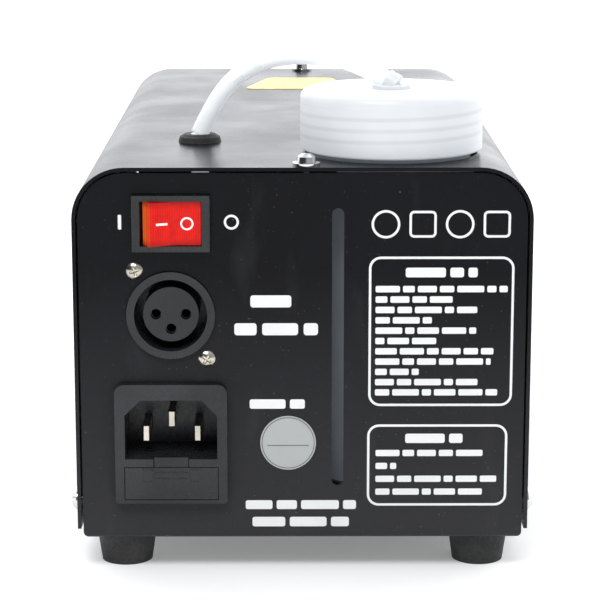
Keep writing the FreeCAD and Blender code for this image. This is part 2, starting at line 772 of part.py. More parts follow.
def make_inlet():
    """The mains inlet: flanged housing with a pin recess over a fuse drawer."""
    x, low = S.inlet_x, BASE + S.inlet_low
    front = PANEL - S.inlet_proud
    flange = box(
        "inlet_flange",
        (x - S.inlet_width / 2, front, low),
        (S.inlet_width, S.inlet_proud, S.inlet_height),
    )
    uprights = [straight("y", x=x + s * S.inlet_width / 2, z=low + S.inlet_height) for s in (-1, 1)]
    feet = [straight("y", x=x + s * S.inlet_width / 2, z=low) for s in (-1, 1)]
    shouldered = eased("inlet_flange_round", flange, 2.6, either(*uprights))
    soft = eased("inlet_flange_soft", shouldered, 1, either(*feet))
    body = box(
        "inlet_body",
        (x - S.inlet_width / 2 + S.inlet_wall, PANEL, low + S.inlet_wall / 2),
        (S.inlet_width - 2 * S.inlet_wall, S.inlet_body_depth, S.inlet_height - S.inlet_wall),
    )
    cavity = box(
        "inlet_cavity",
        (x - S.cavity_width / 2, front - 1, BASE + S.cavity_low),
        (S.cavity_width, S.inlet_floor + S.inlet_proud + 1, S.cavity_top - S.cavity_low),
    )
    shoulders = [
        straight("y", x=x + s * S.cavity_width / 2, z=BASE + S.cavity_top) for s in (-1, 1)
    ]
    shaped_cavity = eased(
        "inlet_cavity_shape", cavity, S.cavity_chamfer, either(*shoulders), "Part::Chamfer"
    )
    solid = fuse("inlet_solid", soft, body)
    tools = [shaped_cavity, *drawer_ways(x, front)]
    for i, (across, up) in enumerate(pin_places()):
        tools.append(
            box(
                f"inlet_pin_way_{i}",
                (x + across - S.pin_width / 2 - 0.05, PANEL + 1, BASE + up - S.pin_height / 2 - 0.05),
                (S.pin_width + 0.1, S.inlet_body_depth, S.pin_height + 0.1),
            )
        )
    node("inlet_housing", cut("inlet_housing", solid, *tools))
    pins = [
        eased(
            f"inlet_pin_{i}",
            box(
                f"inlet_blade_{i}",
                (x + across - S.pin_width / 2, front + S.pin_recess, BASE + up - S.pin_height / 2),
                (S.pin_width, S.pin_tail, S.pin_height),
            ),
            0.6,
            either(
                *[
                    straight("z", x=x + across + s * S.pin_width / 2, y=front + S.pin_recess)
                    for s in (-1, 1)
                ]
            ),
        )
        for i, (across, up) in enumerate(pin_places())
    ]
    node("inlet_pins", group("inlet_pins", *pins))
    make_drawer(x, front)


def drawer_ways(x, front):
    """The room for the fuse drawer: its face, its body and its finger tab."""
    room = S.drawer_room
    width, low = S.drawer_width + 2 * room, BASE + S.drawer_low - room
    yield box(
        "drawer_face_way",
        (x - width / 2, front - 1, low),
        (width, S.inlet_proud + 1, S.drawer_height + 2 * room),
    )
    inner = S.drawer_body_width + 2 * room
    yield box(
        "drawer_body_way",
        (x - inner / 2, PANEL - 1, low + (S.drawer_height - S.drawer_body_height) / 2),
        (inner, S.drawer_depth + 1 + 2 * room, S.drawer_body_height + 2 * room),
    )
    tab = S.drawer_tab + 2 * room
    yield box(
        "drawer_tab_way",
        (x - tab / 2, front - 1, low),
        (tab, S.inlet_proud + 1, S.cavity_low - S.drawer_low + room + 1),
    )


def make_drawer(x, front):
    """The fuse drawer, with the fuse lying across it."""
    low = BASE + S.drawer_low
    face = box(
        "drawer_face",
        (x - S.drawer_width / 2, front, low),
        (S.drawer_width, S.inlet_proud - S.drawer_room, S.drawer_height),
    )
    tab = box(
        "drawer_tab_piece",
        (x - S.drawer_tab / 2, front + 0.4, low + 1),
        (S.drawer_tab, S.inlet_proud - S.drawer_room - 0.4, S.cavity_low - S.drawer_low - 1 + 0.4),
    )
    inner_low = low + (S.drawer_height - S.drawer_body_height) / 2
    start = PANEL - S.drawer_room - 0.5
    body = box(
        "drawer_body",
        (x - S.drawer_body_width / 2, start, inner_low),
        (S.drawer_body_width, PANEL + S.drawer_depth - start, S.drawer_body_height),
    )
    fuse_y, fuse_z = PANEL + S.drawer_depth / 2, inner_low + S.drawer_body_height / 2 + 0.2
    trough_half = S.fuse_r + S.drawer_room
    trough = box(
        "drawer_trough",
        (x - S.fuse_length / 2 - S.drawer_room, fuse_y - trough_half, fuse_z - trough_half),
        (S.fuse_length + 2 * S.drawer_room, 2 * trough_half, S.drawer_body_height),
    )
    node("fuse_drawer", cut("fuse_drawer", fuse("drawer_solid", face, tab, body), trough))
    left = x - S.fuse_length / 2
    glass = [
        (S.fuse_glass_r - S.fuse_wall, 0.4),
        (S.fuse_glass_r, 0.4),
        (S.fuse_glass_r, S.fuse_length - 0.4),
        (S.fuse_glass_r - S.fuse_wall, S.fuse_length - 0.4),
    ]
    node("fuse_tube", turned("fuse_tube", glass, (left, fuse_y, fuse_z), "X"))
    cup = [
        (0, 0),
        (S.fuse_r, 0),
        (S.fuse_r, S.fuse_cap_depth),
        (S.fuse_glass_r, S.fuse_cap_depth),
        (S.fuse_glass_r, 0.4),
        (0, 0.4),
    ]
    caps = [
        turned("fuse_cap_left", cup, (left, fuse_y, fuse_z), "X"),
        turned("fuse_cap_right", cup, (left + S.fuse_length, fuse_y, fuse_z), "-X"),
    ]
    node("fuse_caps", group("fuse_caps", *caps))


# ---------------------------------------------------------------- labels


def make_labels():
    """A round sticker on the panel and a plain sticker on the roof."""
    node(
        "round_sticker",
        rod(
            "round_sticker", S.sticker_r, S.label_thickness,
            (S.sticker_x, PANEL, BASE + S.sticker_up), "-Y",
        ),
    )
    wide, narrow, depth = S.label_width / 2, S.label_top_width / 2, S.label_depth
    corners = [(-wide, 0), (wide, 0), (narrow, depth), (-narrow, depth)]
    low = REAR + S.case_length - S.label_from_front - depth
    plate = extruded("label_plate", corners, S.label_thickness, (0, low, ROOF))
    DOC.recompute()
    node("top_label", eased("top_label", plate, 3, lambda edge: edge.Length < 0.5))


# ---------------------------------------------------------------- tank and cap


def make_tank():
    """The tank, the cup that it stands in, its cap, and the bush that the hose enters."""
    x, y = S.tank_x, REAR + S.tank_in
    start = FLOOR + S.cradle_base
    radius, wall, neck = S.tank_r, S.tank_wall, NECK_R
    shoulder = BASE + S.shoulder_up - start
    neck_low = shoulder + S.shoulder_height
    top = BASE + S.neck_top - start
    corners = [
        (0, 0),
        (radius - 3, 0),
        (radius, 3),
        (radius, shoulder),
        (neck, neck_low),
        (neck, top),
        (neck - wall, top),
        (neck - wall, neck_low),
        (radius - wall, shoulder),
        (radius - wall, 3 + wall),
        (radius - 3 - wall, wall),
        (0, wall),
    ]
    node("tank_bottle", turned("tank_bottle", corners, (x, y, start)))
    inner = radius + S.cradle_room
    outer = inner + S.cradle_wall
    cup = [
        (0, 0),
        (outer, 0),
        (outer, S.cradle_height),
        (inner, S.cradle_height),
        (inner, S.cradle_base),
        (0, S.cradle_base),
    ]
    node("tank_cradle", turned("tank_cradle", cup, (x, y, FLOOR)))
    make_cap(x, y)
    make_bush(x, y)


def make_cap(x, y):
    """The screw cap, open below, with a round hole for the bush."""
    low, height = BASE + S.cap_low, S.cap_height
    hole = S.bush_r + S.bush_fit
    inside = CAP_R - S.cap_wall
    corners = [
        (hole, height),
        (CAP_R, height),
        (CAP_R, 0),
        (inside, 0),
        (inside, height - S.cap_top),
        (hole, height - S.cap_top),
    ]
    body = turned("cap_body", corners, (x, y, low))
    node("tank_cap", eased("tank_cap", body, S.cap_round, circle_at(CAP_R, low + height)))


def make_bush(x, y):
    """The bush in the cap, with a slanted seat for the hose and a bore down to the pickup tube."""
    top = BASE + S.cap_low + S.cap_height
    under = top - S.cap_top
    stem_low = under - S.bush_flange - S.bush_fit
    stem_top = top + S.bush_fit + S.bush_flange
    stem = rod("bush_stem", S.bush_r, stem_top - stem_low, (x, y, stem_low))
    collar = rod("bush_collar", S.bush_flange_r, S.bush_flange, (x, y, top + S.bush_fit))
    catch = rod("bush_catch", S.bush_flange_r, S.bush_flange, (x, y, stem_low))
    end = hose_points()[-1]
    away = (hose_points()[-2] - end).normalize()
    sunk = number(S.boss_sunk)
    boss = Part.makeCylinder(number(S.boss_r), number(S.boss_seat) + sunk, end - away * sunk, away)
    seat = Part.makeCylinder(number(S.hose_r + 0.05), number(S.boss_seat) + 6, end, away)
    way = Part.makeCylinder(number(S.hose_bore_r), 3.2, end - away * 3, away)
    down = rod("bush_way", S.hose_bore_r, 8, (x, y, stem_low - 1))
    solid = fuse("bush_solid", stem, collar, catch, shaped("bush_boss", boss))
    tools = [shaped("bush_seat", seat), shaped("bush_slant", way), down]
    node("hose_bush", cut("hose_bush", solid, *tools))
    low = FLOOR + S.cradle_base + S.pickup_clear
    pipe = [(S.hose_bore_r, 0), (S.hose_r, 0), (S.hose_r, stem_low - low), (S.hose_bore_r, stem_low - low)]
    node("pickup_tube", turned("pickup_tube", pipe, (x, y, low)))
    hole = S.hose_r + 0.05
    weight = [
        (0, -5),
        (S.filter_r - 1, -5),
        (S.filter_r, -4),
        (S.filter_r, S.filter_height - 5),
        (hole, S.filter_height - 5),
        (hole, 0),
        (0, 0),
    ]
    node("pickup_filter", turned("pickup_filter", weight, (x, y, low)))


# ---------------------------------------------------------------- hose


def hose_points():
    """The route of the free hose, from the grommet's mouth to its seat in the bush."""
    top = number(ROOF)
    rear = number(REAR)
    route = [
        (-28.9, 49.5, 2.2),
        (-24.0, 47.7, 12.8),
        (-16.2, 44.8, 21.0),
        (-6.2, 41.1, 25.2),
        (4.6, 37.1, 25.6),
        (15.3, 33.3, 24.1),
        (24.5, 30.0, 18.8),
    ]
    return [FreeCAD.Vector(x, rear + y, top + z) for x, y, z in route]


def hose_radii(points):
    """The arc at each inner point, as large as its two runs allow."""
    radii = []
    for before, corner, after in zip(points, points[1:], points[2:]):
        turn = math.pi - (before - corner).getAngle(after - corner)
        shorter = min((before - corner).Length, (after - corner).Length)
        radii.append(0.45 * shorter / math.tan(turn / 2))
    return radii


def make_hose():
    """The clear hose over the roof, the hose inside the case, and the grommet between them."""
    points = hose_points()
    radii = hose_radii(points)
    print("supply_hose radii:", [round(r, 1) for r in radii])
    outer, bore = number(S.hose_r), number(S.hose_bore_r)
    node(
        "supply_hose",
        shaped("supply_hose", tube("supply_hose", bent_wire(points, radii), outer, bore)),
    )
    x, y = S.grommet_x, REAR + S.grommet_in
    start = vector((x, y, ROOF + S.grommet_dome))
    corner = vector((x, y, BASE + S.pump_up))
    end = vector((x, REAR + S.pump_in, BASE + S.pump_up))
    sweep = (end - corner).Length - 1
    node(
        "pump_hose",
        shaped("pump_hose", tube("pump_hose", bent_wire([start, corner, end], [sweep]), outer, bore)),
    )
    hole = S.hose_r + S.hose_room
    dome, tail = S.grommet_dome, S.sheet + S.grommet_tail
    rubber = [
        (hole, dome),
        (S.grommet_r * 0.72, dome),
        (S.grommet_r * 0.93, dome * 0.65),
        (S.grommet_r, 0),
        (S.grommet_neck_r, 0),
        (S.grommet_neck_r, -S.sheet),
        (S.grommet_neck_r + 0.8, -S.sheet),
        (S.grommet_neck_r + 0.6, -tail),
        (hole, -tail),
    ]
    node("hose_grommet", turned("hose_grommet", rubber, (x, y, ROOF)))


# ---------------------------------------------------------------- pump


def make_pump():
    """A solenoid pump: a sprung plunger in a barrel, inside a coil and its iron yoke."""
    x, y, z = S.grommet_x, REAR + S.pump_in, BASE + S.pump_up
    length, bore, way = S.pump_length, S.barrel_bore_r, S.hose_bore_r
    lead = S.spigot_length
    wall = lead + 2
    barrel = [
        (way, 0),
        (S.spigot_r, 0),
        (S.spigot_r, lead),
        (S.barrel_r, lead),
        (S.barrel_r, length - lead),
        (S.spigot_r, length - lead),
        (S.spigot_r, length),
        (way, length),
        (way, length - wall),
        (bore, length - wall),
        (bore, wall),
        (way, wall),
    ]
    node("pump_barrel", turned("pump_barrel", barrel, (x, y, z), "Y"))
    plunger = [
        (1, 0),
        (S.plunger_r, 0),
        (S.plunger_r, S.plunger_length),
        (1, S.plunger_length),
    ]
    node("pump_plunger", turned("pump_plunger", plunger, (x, y + S.plunger_in, z), "Y"))
    clear = 0.45
    spring_start = S.plunger_in + S.plunger_length + clear
    spring_length = number(length - wall - clear - spring_start)
    spring_at = vector((x, y + spring_start + S.spring_wire_r, z))
    node("pump_spring", shaped("pump_spring", spring(spring_length), spring_at, "Y"))
    inner = S.barrel_r + 0.2
    coil = [
        (inner, 0),
        (S.coil_r, 0),
        (S.coil_r, S.coil_length),
        (inner, S.coil_length),
    ]
    node("pump_coil", turned("pump_coil", coil, (x, y + S.coil_in, z), "Y"))
    half, plate = S.yoke_half, S.yoke_plate
    start, end = y + S.coil_in - plate, y + S.coil_in + S.coil_length + plate
    frame = span("yoke_blank", (x - half, start, z - half), (x + half, end, z + half))
    window = span(
        "yoke_window",
        (x - half - 1, start + plate, z - half + plate),
        (x + half + 1, end - plate, z + half - plate),
    )
    hole = rod("yoke_hole", inner, S.coil_length + 2 * plate + 2, (x, start - 1, z), "Y")
    node("pump_yoke", cut("pump_yoke", frame, window, hole))
    brackets = [
        box(
            f"pump_bracket_{i}",
            (x - S.bracket_width / 2, at, FLOOR),
            (S.bracket_width, S.bracket_depth, z - half - FLOOR),
        )
        for i, at in enumerate((start + 1, end - 1 - S.bracket_depth))
    ]
    node("pump_brackets", group("pump_brackets", *brackets))


def spring(length):
    """A round-wire spring of an overall length, about the Z axis."""
    pitch, radius, wire_r = number(S.spring_pitch), number(S.spring_r), number(S.spring_wire_r)
    helix = Part.makeHelix(pitch, length - 2 * wire_r, radius)
    disc = Part.Wire([
        Part.Circle(FreeCAD.Vector(radius, 0, 0), FreeCAD.Vector(0, 1, 0), wire_r).toShape()
    ])
    return Part.Wire(helix.Edges).makePipeShell([disc], True, True)


def make_outlet_pipe():
    """The thin pipe from the pump's outlet to the heater's inlet."""
    x, z = S.grommet_x, BASE + S.pump_up
    start = REAR + S.pump_in + S.pump_length
    end = REAR + S.heater_in
    middle = (start + end) / 2
    points = [
        vector((x, start, z)),
        vector((x, middle, z)),
        vector((0, middle, BASE + S.heater_up)),
        vector((0, end, BASE + S.heater_up)),
    ]
    run = number(middle - start)
    radii = [0.45 * run] * 2
    wire = bent_wire(points, radii)
    shape = tube("pump_outlet_pipe", wire, number(S.pipe_r), number(S.pipe_bore_r))
    node("pump_outlet_pipe", shaped("pump_outlet_pipe", shape))


# ---------------------------------------------------------------- heater and nozzle


def around_heater(name, grow, set_back):
    """A box round the heater block, larger by grow on its four sides."""
    half = S.heater_half + grow
    y, z = REAR + S.heater_in, BASE + S.heater_up
    return span(
        name,
        (-half, y + set_back, z - half),
        (half, y + HEATER_LENGTH - set_back, z + half),
    )


def make_heater():
    """The heater block in its insulation and sleeve, on four posts, with its nozzle."""
    y, z = REAR + S.heater_in, BASE + S.heater_up
    block = around_heater("heater_blank", 0, 0)
    bore = rod("fog_bore", S.fog_bore_r, HEATER_LENGTH + 2, (0, y - 1, z), "Y")
    end = y + HEATER_LENGTH
    seat = rod(
        "nozzle_seat_hole", S.nozzle_seat_r + 0.05, S.nozzle_seat + 1, (0, end - S.nozzle_seat, z), "Y"
    )
    node("heater_block", cut("heater_block", block, bore, seat))
    back = S.wrap_set_back
    wrap_space = around_heater("wrap_space", 0, 0)
    wrap = around_heater("wrap_blank", S.wrap, back)
    node("heater_insulation", cut("heater_insulation", wrap, wrap_space))
    sleeve_space = around_heater("sleeve_space", S.wrap, 0)
    sleeve = around_heater("sleeve_blank", S.wrap + S.sleeve, back)
    node("heater_sleeve", cut("heater_sleeve", sleeve, sleeve_space))
    under = z - S.heater_half - S.wrap - S.sleeve
    posts = [
        rod(f"heater_post_{i}", S.post_r, under - FLOOR, (sign * S.post_x, at, FLOOR))
        for i, (sign, at) in enumerate(
            (sign, at)
            for at in (y + S.post_in, end - S.post_in)
            for sign in (-1, 1)
        )
    ]
    node("heater_posts", group("heater_posts", *posts))
    make_nozzle(end, z)
    for name, side in (("thermostat", 1), ("thermal_cutout", -1)):
        body = [
            (0, 0),
            (S.sensor_r, 0),
            (S.sensor_r, S.sensor_height * 0.5),
            (S.sensor_r * 0.75, S.sensor_height * 0.6),
            (S.sensor_r * 0.75, S.sensor_height),
            (0, S.sensor_height),
        ]
        at = (side * S.sensor_x, y, z - side * S.sensor_rise)
        node(name, turned(name, body, at, "-Y"))


def make_nozzle(end, z):
    """The brass nozzle screwed into the block, and the ring round its hole in the panel."""
    start = end - S.nozzle_seat
    tip = REAR + S.case_length + S.nozzle_reach - start
    seat, hexagon = S.nozzle_seat, S.nozzle_hex
    corners = [
        (S.nozzle_throat_r, 0),
        (S.nozzle_seat_r, 0),
        (S.nozzle_seat_r, seat),
        (S.nozzle_hex_r, seat),
        (S.nozzle_hex_r, seat + hexagon),
        (S.nozzle_r, seat + hexagon),
        (S.nozzle_r, tip - 2),
        (S.nozzle_r - 1, tip),
        (S.nozzle_mouth_r, tip),
        (S.nozzle_mouth_r, tip - S.nozzle_mouth),
        (S.nozzle_throat_r, tip - S.nozzle_mouth - 2),
    ]
    node("nozzle", turned("nozzle", corners, (0, start, z), "Y"))
    inner = S.nozzle_r + 0.4
    ring = [
        (inner, 0),
        (S.ring_r, 0),
        (S.ring_r, S.ring_proud - 0.8),
        (S.ring_r - 0.8, S.ring_proud),
        (inner, S.ring_proud),
    ]
    node("nozzle_ring", turned("nozzle_ring", ring, (0, FRONT, z), "Y"))


# ---------------------------------------------------------------- electronics and wiring


def make_board():
    """The control board on its posts, with what is soldered to it."""
    x, y, z = S.board_x, REAR + S.board_in, BASE + S.board_up
    node(
        "control_board",
        box("control_board", (x, y, z), (S.board_width, S.board_length, S.board_thickness)),
    )
    inset = S.board_post_inset
    posts = [
        rod(f"board_post_{i}_{j}", S.board_post_r, z - FLOOR, (across, along, FLOOR))
        for i, across in enumerate((x + inset, x + S.board_width - inset))
        for j, along in enumerate((y + inset, y + S.board_length - inset))
    ]
    node("board_standoffs", group("board_standoffs", *posts))
    top = z + S.board_thickness
    node("board_relay", box("board_relay", (x + 25, y + 6, top), (16, 19, 15.5)))
    node("board_transformer", box("board_transformer", (x + 14, y + 38, top), (30, 25, 22)))
    node("board_terminals", box("board_terminals", (x + 1, y + 10, top), (8, 50, 10)))
    node("board_capacitor", rod("board_capacitor", 5, 14, (x + 17, y + 22, top)))


def wire_along(name, points, radius):
    """A wire through the points, bent at each as wide as its runs allow, up to the radius."""
    spots = [vector(p) for p in points]
    radii = [min(r, radius) for r in hose_radii(spots)]
    return shaped(name, tube(name, bent_wire(spots, radii), number(S.wire_r)))


def make_wires():
    """The mains wires from the inlet to the switch and board, and the wires to the heater."""
    tail = PANEL - S.inlet_proud + S.pin_recess + S.pin_tail
    left, right = (S.inlet_x + side * S.pin_spacing / 2 for side in (-1, 1))
    pin = BASE + S.pin_up
    switch_tail = PANEL + S.switch_depth + 8
    switch = BASE + S.switch_up
    board = S.board_x + 1
    bend = 9
    clip = BASE + S.board_up + S.board_thickness + 5
    row = REAR + S.board_in
    mains = [
        wire_along(
            "wire_line",
            [
                (left, tail, pin),
                (left, tail + 9, pin + 6),
                (left - 6, tail + 10, pin + 30),
                (S.switch_x - 6, switch_tail + 12, switch - 4),
                (S.switch_x - 6, switch_tail, switch),
            ],
            bend,
        ),
        wire_along(
            "wire_neutral",
            [
                (right, tail, pin),
                (right + 6, tail + 8, pin - 8),
                (right + 16, tail + 22, pin - 14),
                (board - 14, row + 12, clip + 3),
                (board, row + 16, clip),
            ],
            bend,
        ),
        wire_along(
            "wire_switched",
            [
                (S.switch_x, switch_tail, switch),
                (S.switch_x + 4, switch_tail + 14, switch - 4),
                (S.switch_x + 16, row - 8, switch - 32),
                (board - 12, row + 14, clip + 18),
                (board - 7, row + 22, clip + 2),
                (board, row + 24, clip),
            ],
            bend,
        ),
    ]
    node("mains_wires", group("mains_wires", *mains))
    sensor_back = REAR + S.heater_in - S.sensor_height
    z = BASE + S.heater_up
    heater = [
        wire_along(
            f"wire_heat_{i}",
            [
                (board, row + start, clip),
                (board - 8, row + start + 8, clip + 3),
                (board - 7 + i, row + start + 24, clip + 10),
                (side * S.sensor_x, sensor_back - 8, z - side * S.sensor_rise),
                (side * S.sensor_x, sensor_back, z - side * S.sensor_rise),
            ],
            bend,
        )
        for i, (start, side) in enumerate(((34, 1), (44, -1)))
    ]
    node("heater_wires", group("heater_wires", *heater))
    at = (S.inlet_x - 14, REAR + S.tank_in + 12, FLOOR + 1.5)
    node("earth_screw", pan_screw("earth_screw", S.bolt_head_r, S.bolt_head, S.bolt_r, 1.5, at, "-Z"))


def check_document():
    """Refuses a failed object and any part that is empty or not valid."""
    DOC.recompute()
    for item in DOC.Objects:
        if "Invalid" in item.State or "Error" in item.State:
            raise ValueError(f"{item.Name} failed: {item.State}")
    for name, item in NODES.items():
        if item.Shape.isNull() or not item.Shape.isValid() or not item.Shape.Solids:
            raise ValueError(f"{name} has no valid shape")


def main():
    """Makes every part and writes one file for each."""
    make_chassis()
    make_cover()
    make_feet()
    make_cover_screws()
    make_switch()
    make_socket()
    make_inlet()
    make_labels()
    make_tank()
    make_hose()
    make_pump()
    make_outlet_pipe()
    make_heater()
    make_board()
    make_wires()
    check_document()
    os.makedirs("parts", exist_ok=True)
    for name, item in NODES.items():
        item.Shape.exportStep(f"parts/{name}.step")
    print(len(NODES), "nodes")


main()
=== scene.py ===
import json
import math

import bmesh
import bpy
from mathutils import Matrix, Vector


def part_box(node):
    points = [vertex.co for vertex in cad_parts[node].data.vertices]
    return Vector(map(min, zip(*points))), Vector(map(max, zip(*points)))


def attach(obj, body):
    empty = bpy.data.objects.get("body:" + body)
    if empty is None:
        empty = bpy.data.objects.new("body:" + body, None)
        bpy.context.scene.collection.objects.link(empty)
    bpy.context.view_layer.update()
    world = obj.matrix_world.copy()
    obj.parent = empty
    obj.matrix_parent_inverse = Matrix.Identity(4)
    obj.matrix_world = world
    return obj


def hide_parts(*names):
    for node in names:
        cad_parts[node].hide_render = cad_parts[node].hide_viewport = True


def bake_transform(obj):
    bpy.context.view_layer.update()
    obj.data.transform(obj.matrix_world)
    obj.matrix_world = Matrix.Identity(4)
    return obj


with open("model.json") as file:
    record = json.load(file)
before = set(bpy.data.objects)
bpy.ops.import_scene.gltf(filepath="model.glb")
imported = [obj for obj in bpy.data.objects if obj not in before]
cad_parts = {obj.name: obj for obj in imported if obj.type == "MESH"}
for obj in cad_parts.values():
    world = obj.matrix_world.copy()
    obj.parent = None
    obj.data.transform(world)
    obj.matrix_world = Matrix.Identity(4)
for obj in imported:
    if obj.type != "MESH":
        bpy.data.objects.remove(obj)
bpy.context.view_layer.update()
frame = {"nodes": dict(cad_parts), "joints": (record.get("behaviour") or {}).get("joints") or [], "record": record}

MM = 0.001
NODES = frame["nodes"]

# ---------------------------------------------------------------- places, from the frame

COVER_LOW, COVER_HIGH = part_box("cover")
CHASSIS_LOW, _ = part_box("chassis")
REAR = COVER_LOW.y
PANEL = CHASSIS_LOW.y
BASE = CHASSIS_LOW.z
ROOF = COVER_HIGH.z
CAP_LOW, CAP_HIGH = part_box("tank_cap")
CAP_CENTRE = (CAP_LOW + CAP_HIGH) / 2
CAP_R = (CAP_HIGH.x - CAP_LOW.x) / 2
DRAWER_LOW, DRAWER_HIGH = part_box("fuse_drawer")
STICKER_LOW, STICKER_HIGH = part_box("round_sticker")
STICKER_CENTRE = (STICKER_LOW + STICKER_HIGH) / 2
PIVOT = Vector(next(j for j in frame["joints"] if j["name"] == "rocker_tilt")["pos_m"])
THREAD_PITCH = 3 * MM


def on_panel(x, up):
    """A place on the control panel, from millimetres across and up from the chassis."""
    return x * MM, BASE + up * MM


# ---------------------------------------------------------------- materials


def set_range(node, low, high, first, last):
    """Fills in a Map Range node's four numbers."""
    for name, number in zip(("From Min", "From Max", "To Min", "To Max"), (low, high, first, last)):
        node.inputs[name].default_value = number


class Graph:
    """A material's node tree, with short calls for the nodes used here."""

    def __init__(self, name):
        self.material = bpy.data.materials.new(name)
        self.material.use_nodes = True
        self.tree = self.material.node_tree
        self.shader = self.tree.nodes["Principled BSDF"]
        self.place = self.add("ShaderNodeTexCoord").outputs["Object"]

    def add(self, kind, **settings):
        """A new node, with its settings."""
        made = self.tree.nodes.new(kind)
        for key, value in settings.items():
            setattr(made, key, value)
        return made

    def link(self, start, end):
        self.tree.links.new(start, end)

    def noise(self, scale, detail=3.0, stretch=None):
        """Noise over the object's own coordinates, stretched along an axis if asked."""
        made = self.add("ShaderNodeTexNoise")
        made.inputs["Scale"].default_value = scale
        made.inputs["Detail"].default_value = detail
        source = self.place
        if stretch:
            mapping = self.add("ShaderNodeMapping")
            mapping.inputs["Scale"].default_value = stretch
            self.link(source, mapping.inputs["Vector"])
            source = mapping.outputs["Vector"]
        self.link(source, made.inputs["Vector"])
        return made.outputs["Fac"]

    def ramp(self, value, low, high, first, last):
        """Maps a value between low and high to numbers from first to last."""
        made = self.add("ShaderNodeMapRange", clamp=True)
        set_range(made, low, high, first, last)
        self.link(value, made.inputs["Value"])
        return made.outputs["Result"]

    def maths(self, operation, first, second=0.0):
        """One sum of two values, each a number or another node's output."""
        made = self.add("ShaderNodeMath", operation=operation)
        for socket, value in zip(made.inputs, (first, second)):
            if isinstance(value, (int, float)):
                socket.default_value = value
            else:
                self.link(value, socket)
        return made.outputs["Value"]

    def mix(self, factor, first, last):
        """A colour between two, each a colour or another node's output."""
        made = self.add("ShaderNodeMix", data_type="RGBA")
        self.link(factor, made.inputs[0])
        for socket, value in ((made.inputs[6], first), (made.inputs[7], last)):
            if isinstance(value, bpy.types.NodeSocket):
                self.link(value, socket)
            else:
                socket.default_value = (*value, 1)
        return made.outputs[2]

    def bump(self, height, distance):
        """A relief in the surface, from a height and its depth in metres."""
        made = self.add("ShaderNodeBump")
        made.inputs["Distance"].default_value = distance
        made.inputs["Strength"].default_value = 1.0
        self.link(height, made.inputs["Height"])
        self.link(made.outputs["Normal"], self.shader.inputs["Normal"])

    def split_place(self):
        """The object's own X, Y and Z, as separate outputs."""
        made = self.add("ShaderNodeSeparateXYZ")
        self.link(self.place, made.inputs["Vector"])
        return made.outputs

    def set(self, **values):
        """Sets constant values on the shader's own sockets."""
        for name, value in values.items():
            self.shader.inputs[name.replace("_", " ")].default_value = value


def darker(colour, share):
    """A colour with a share of its light taken away."""
    return tuple(c * (1 - share) for c in colour)


def lighter(colour, amount):
    """A colour with an amount added to each channel."""
    return tuple(min(1.0, c + amount) for c in colour)


def plain_surface(
    name, colour, roughness, mottle=0.12, grain=700, relief=0.02, metallic=0.0, stretch=None, **extra
):
    """A moulded, cast or drawn surface: uneven colour, roughness and a fine relief."""
    g = Graph(name)
    broad = g.noise(60, 4)
    fine = g.noise(grain, 4, stretch)
    tint = g.mix(g.ramp(broad, 0.35, 0.65, 0, 1), darker(colour, mottle), lighter(colour, mottle * 0.05))
    g.link(tint, g.shader.inputs["Base Color"])
    spread = roughness * 0.22
    g.link(g.ramp(fine, 0.3, 0.7, roughness - spread, roughness + spread), g.shader.inputs["Roughness"])
    g.set(Metallic=metallic, **extra)
    g.bump(fine, relief * MM)
    return g.material


def powder_coat():
    """Fine black powder coat: orange peel, dust specks, smears, and a paler foot.

    The haze stands in for the light that a white floor throws on the foot of the case.
    """
    g = Graph("powder_coat")
    peel = g.noise(1150, 3)
    broad = g.noise(38, 5)
    dust = g.ramp(g.noise(1500, 1), 0.74, 0.79, 0, 0.16)
    smear = g.ramp(g.noise(90, 6, (1, 1, 0.3)), 0.58, 0.75, 0, 0.02)
    black = (0.004, 0.0041, 0.0056)
    base = g.mix(g.ramp(broad, 0.3, 0.7, 0, 1), black, (0.0062, 0.0064, 0.0085))
    haze_top = BASE + 75 * MM
    haze = g.ramp(g.split_place()["Z"], haze_top, BASE, 0, 0.06)
    veil = g.maths("ADD", g.maths("ADD", dust, smear), haze)
    g.link(g.mix(veil, base, (0.5, 0.5, 0.53)), g.shader.inputs["Base Color"])
    g.link(g.ramp(broad, 0.3, 0.7, 0.22, 0.3), g.shader.inputs["Roughness"])
    g.set(Specular_IOR_Level=0.08)
    g.bump(peel, 0.03 * MM)
    return g.material


def rubber():
    """Matt black rubber with a fine moulded grain."""
    g = Graph("rubber")
    fine = g.noise(1400, 5)
    g.link(
        g.mix(g.ramp(g.noise(120, 4), 0.35, 0.7, 0, 1), (0.012, 0.012, 0.012), (0.03, 0.03, 0.03)),
        g.shader.inputs["Base Color"],
    )
    g.link(g.ramp(fine, 0.3, 0.7, 0.6, 0.85), g.shader.inputs["Roughness"])
    g.bump(fine, 0.06 * MM)
    return g.material


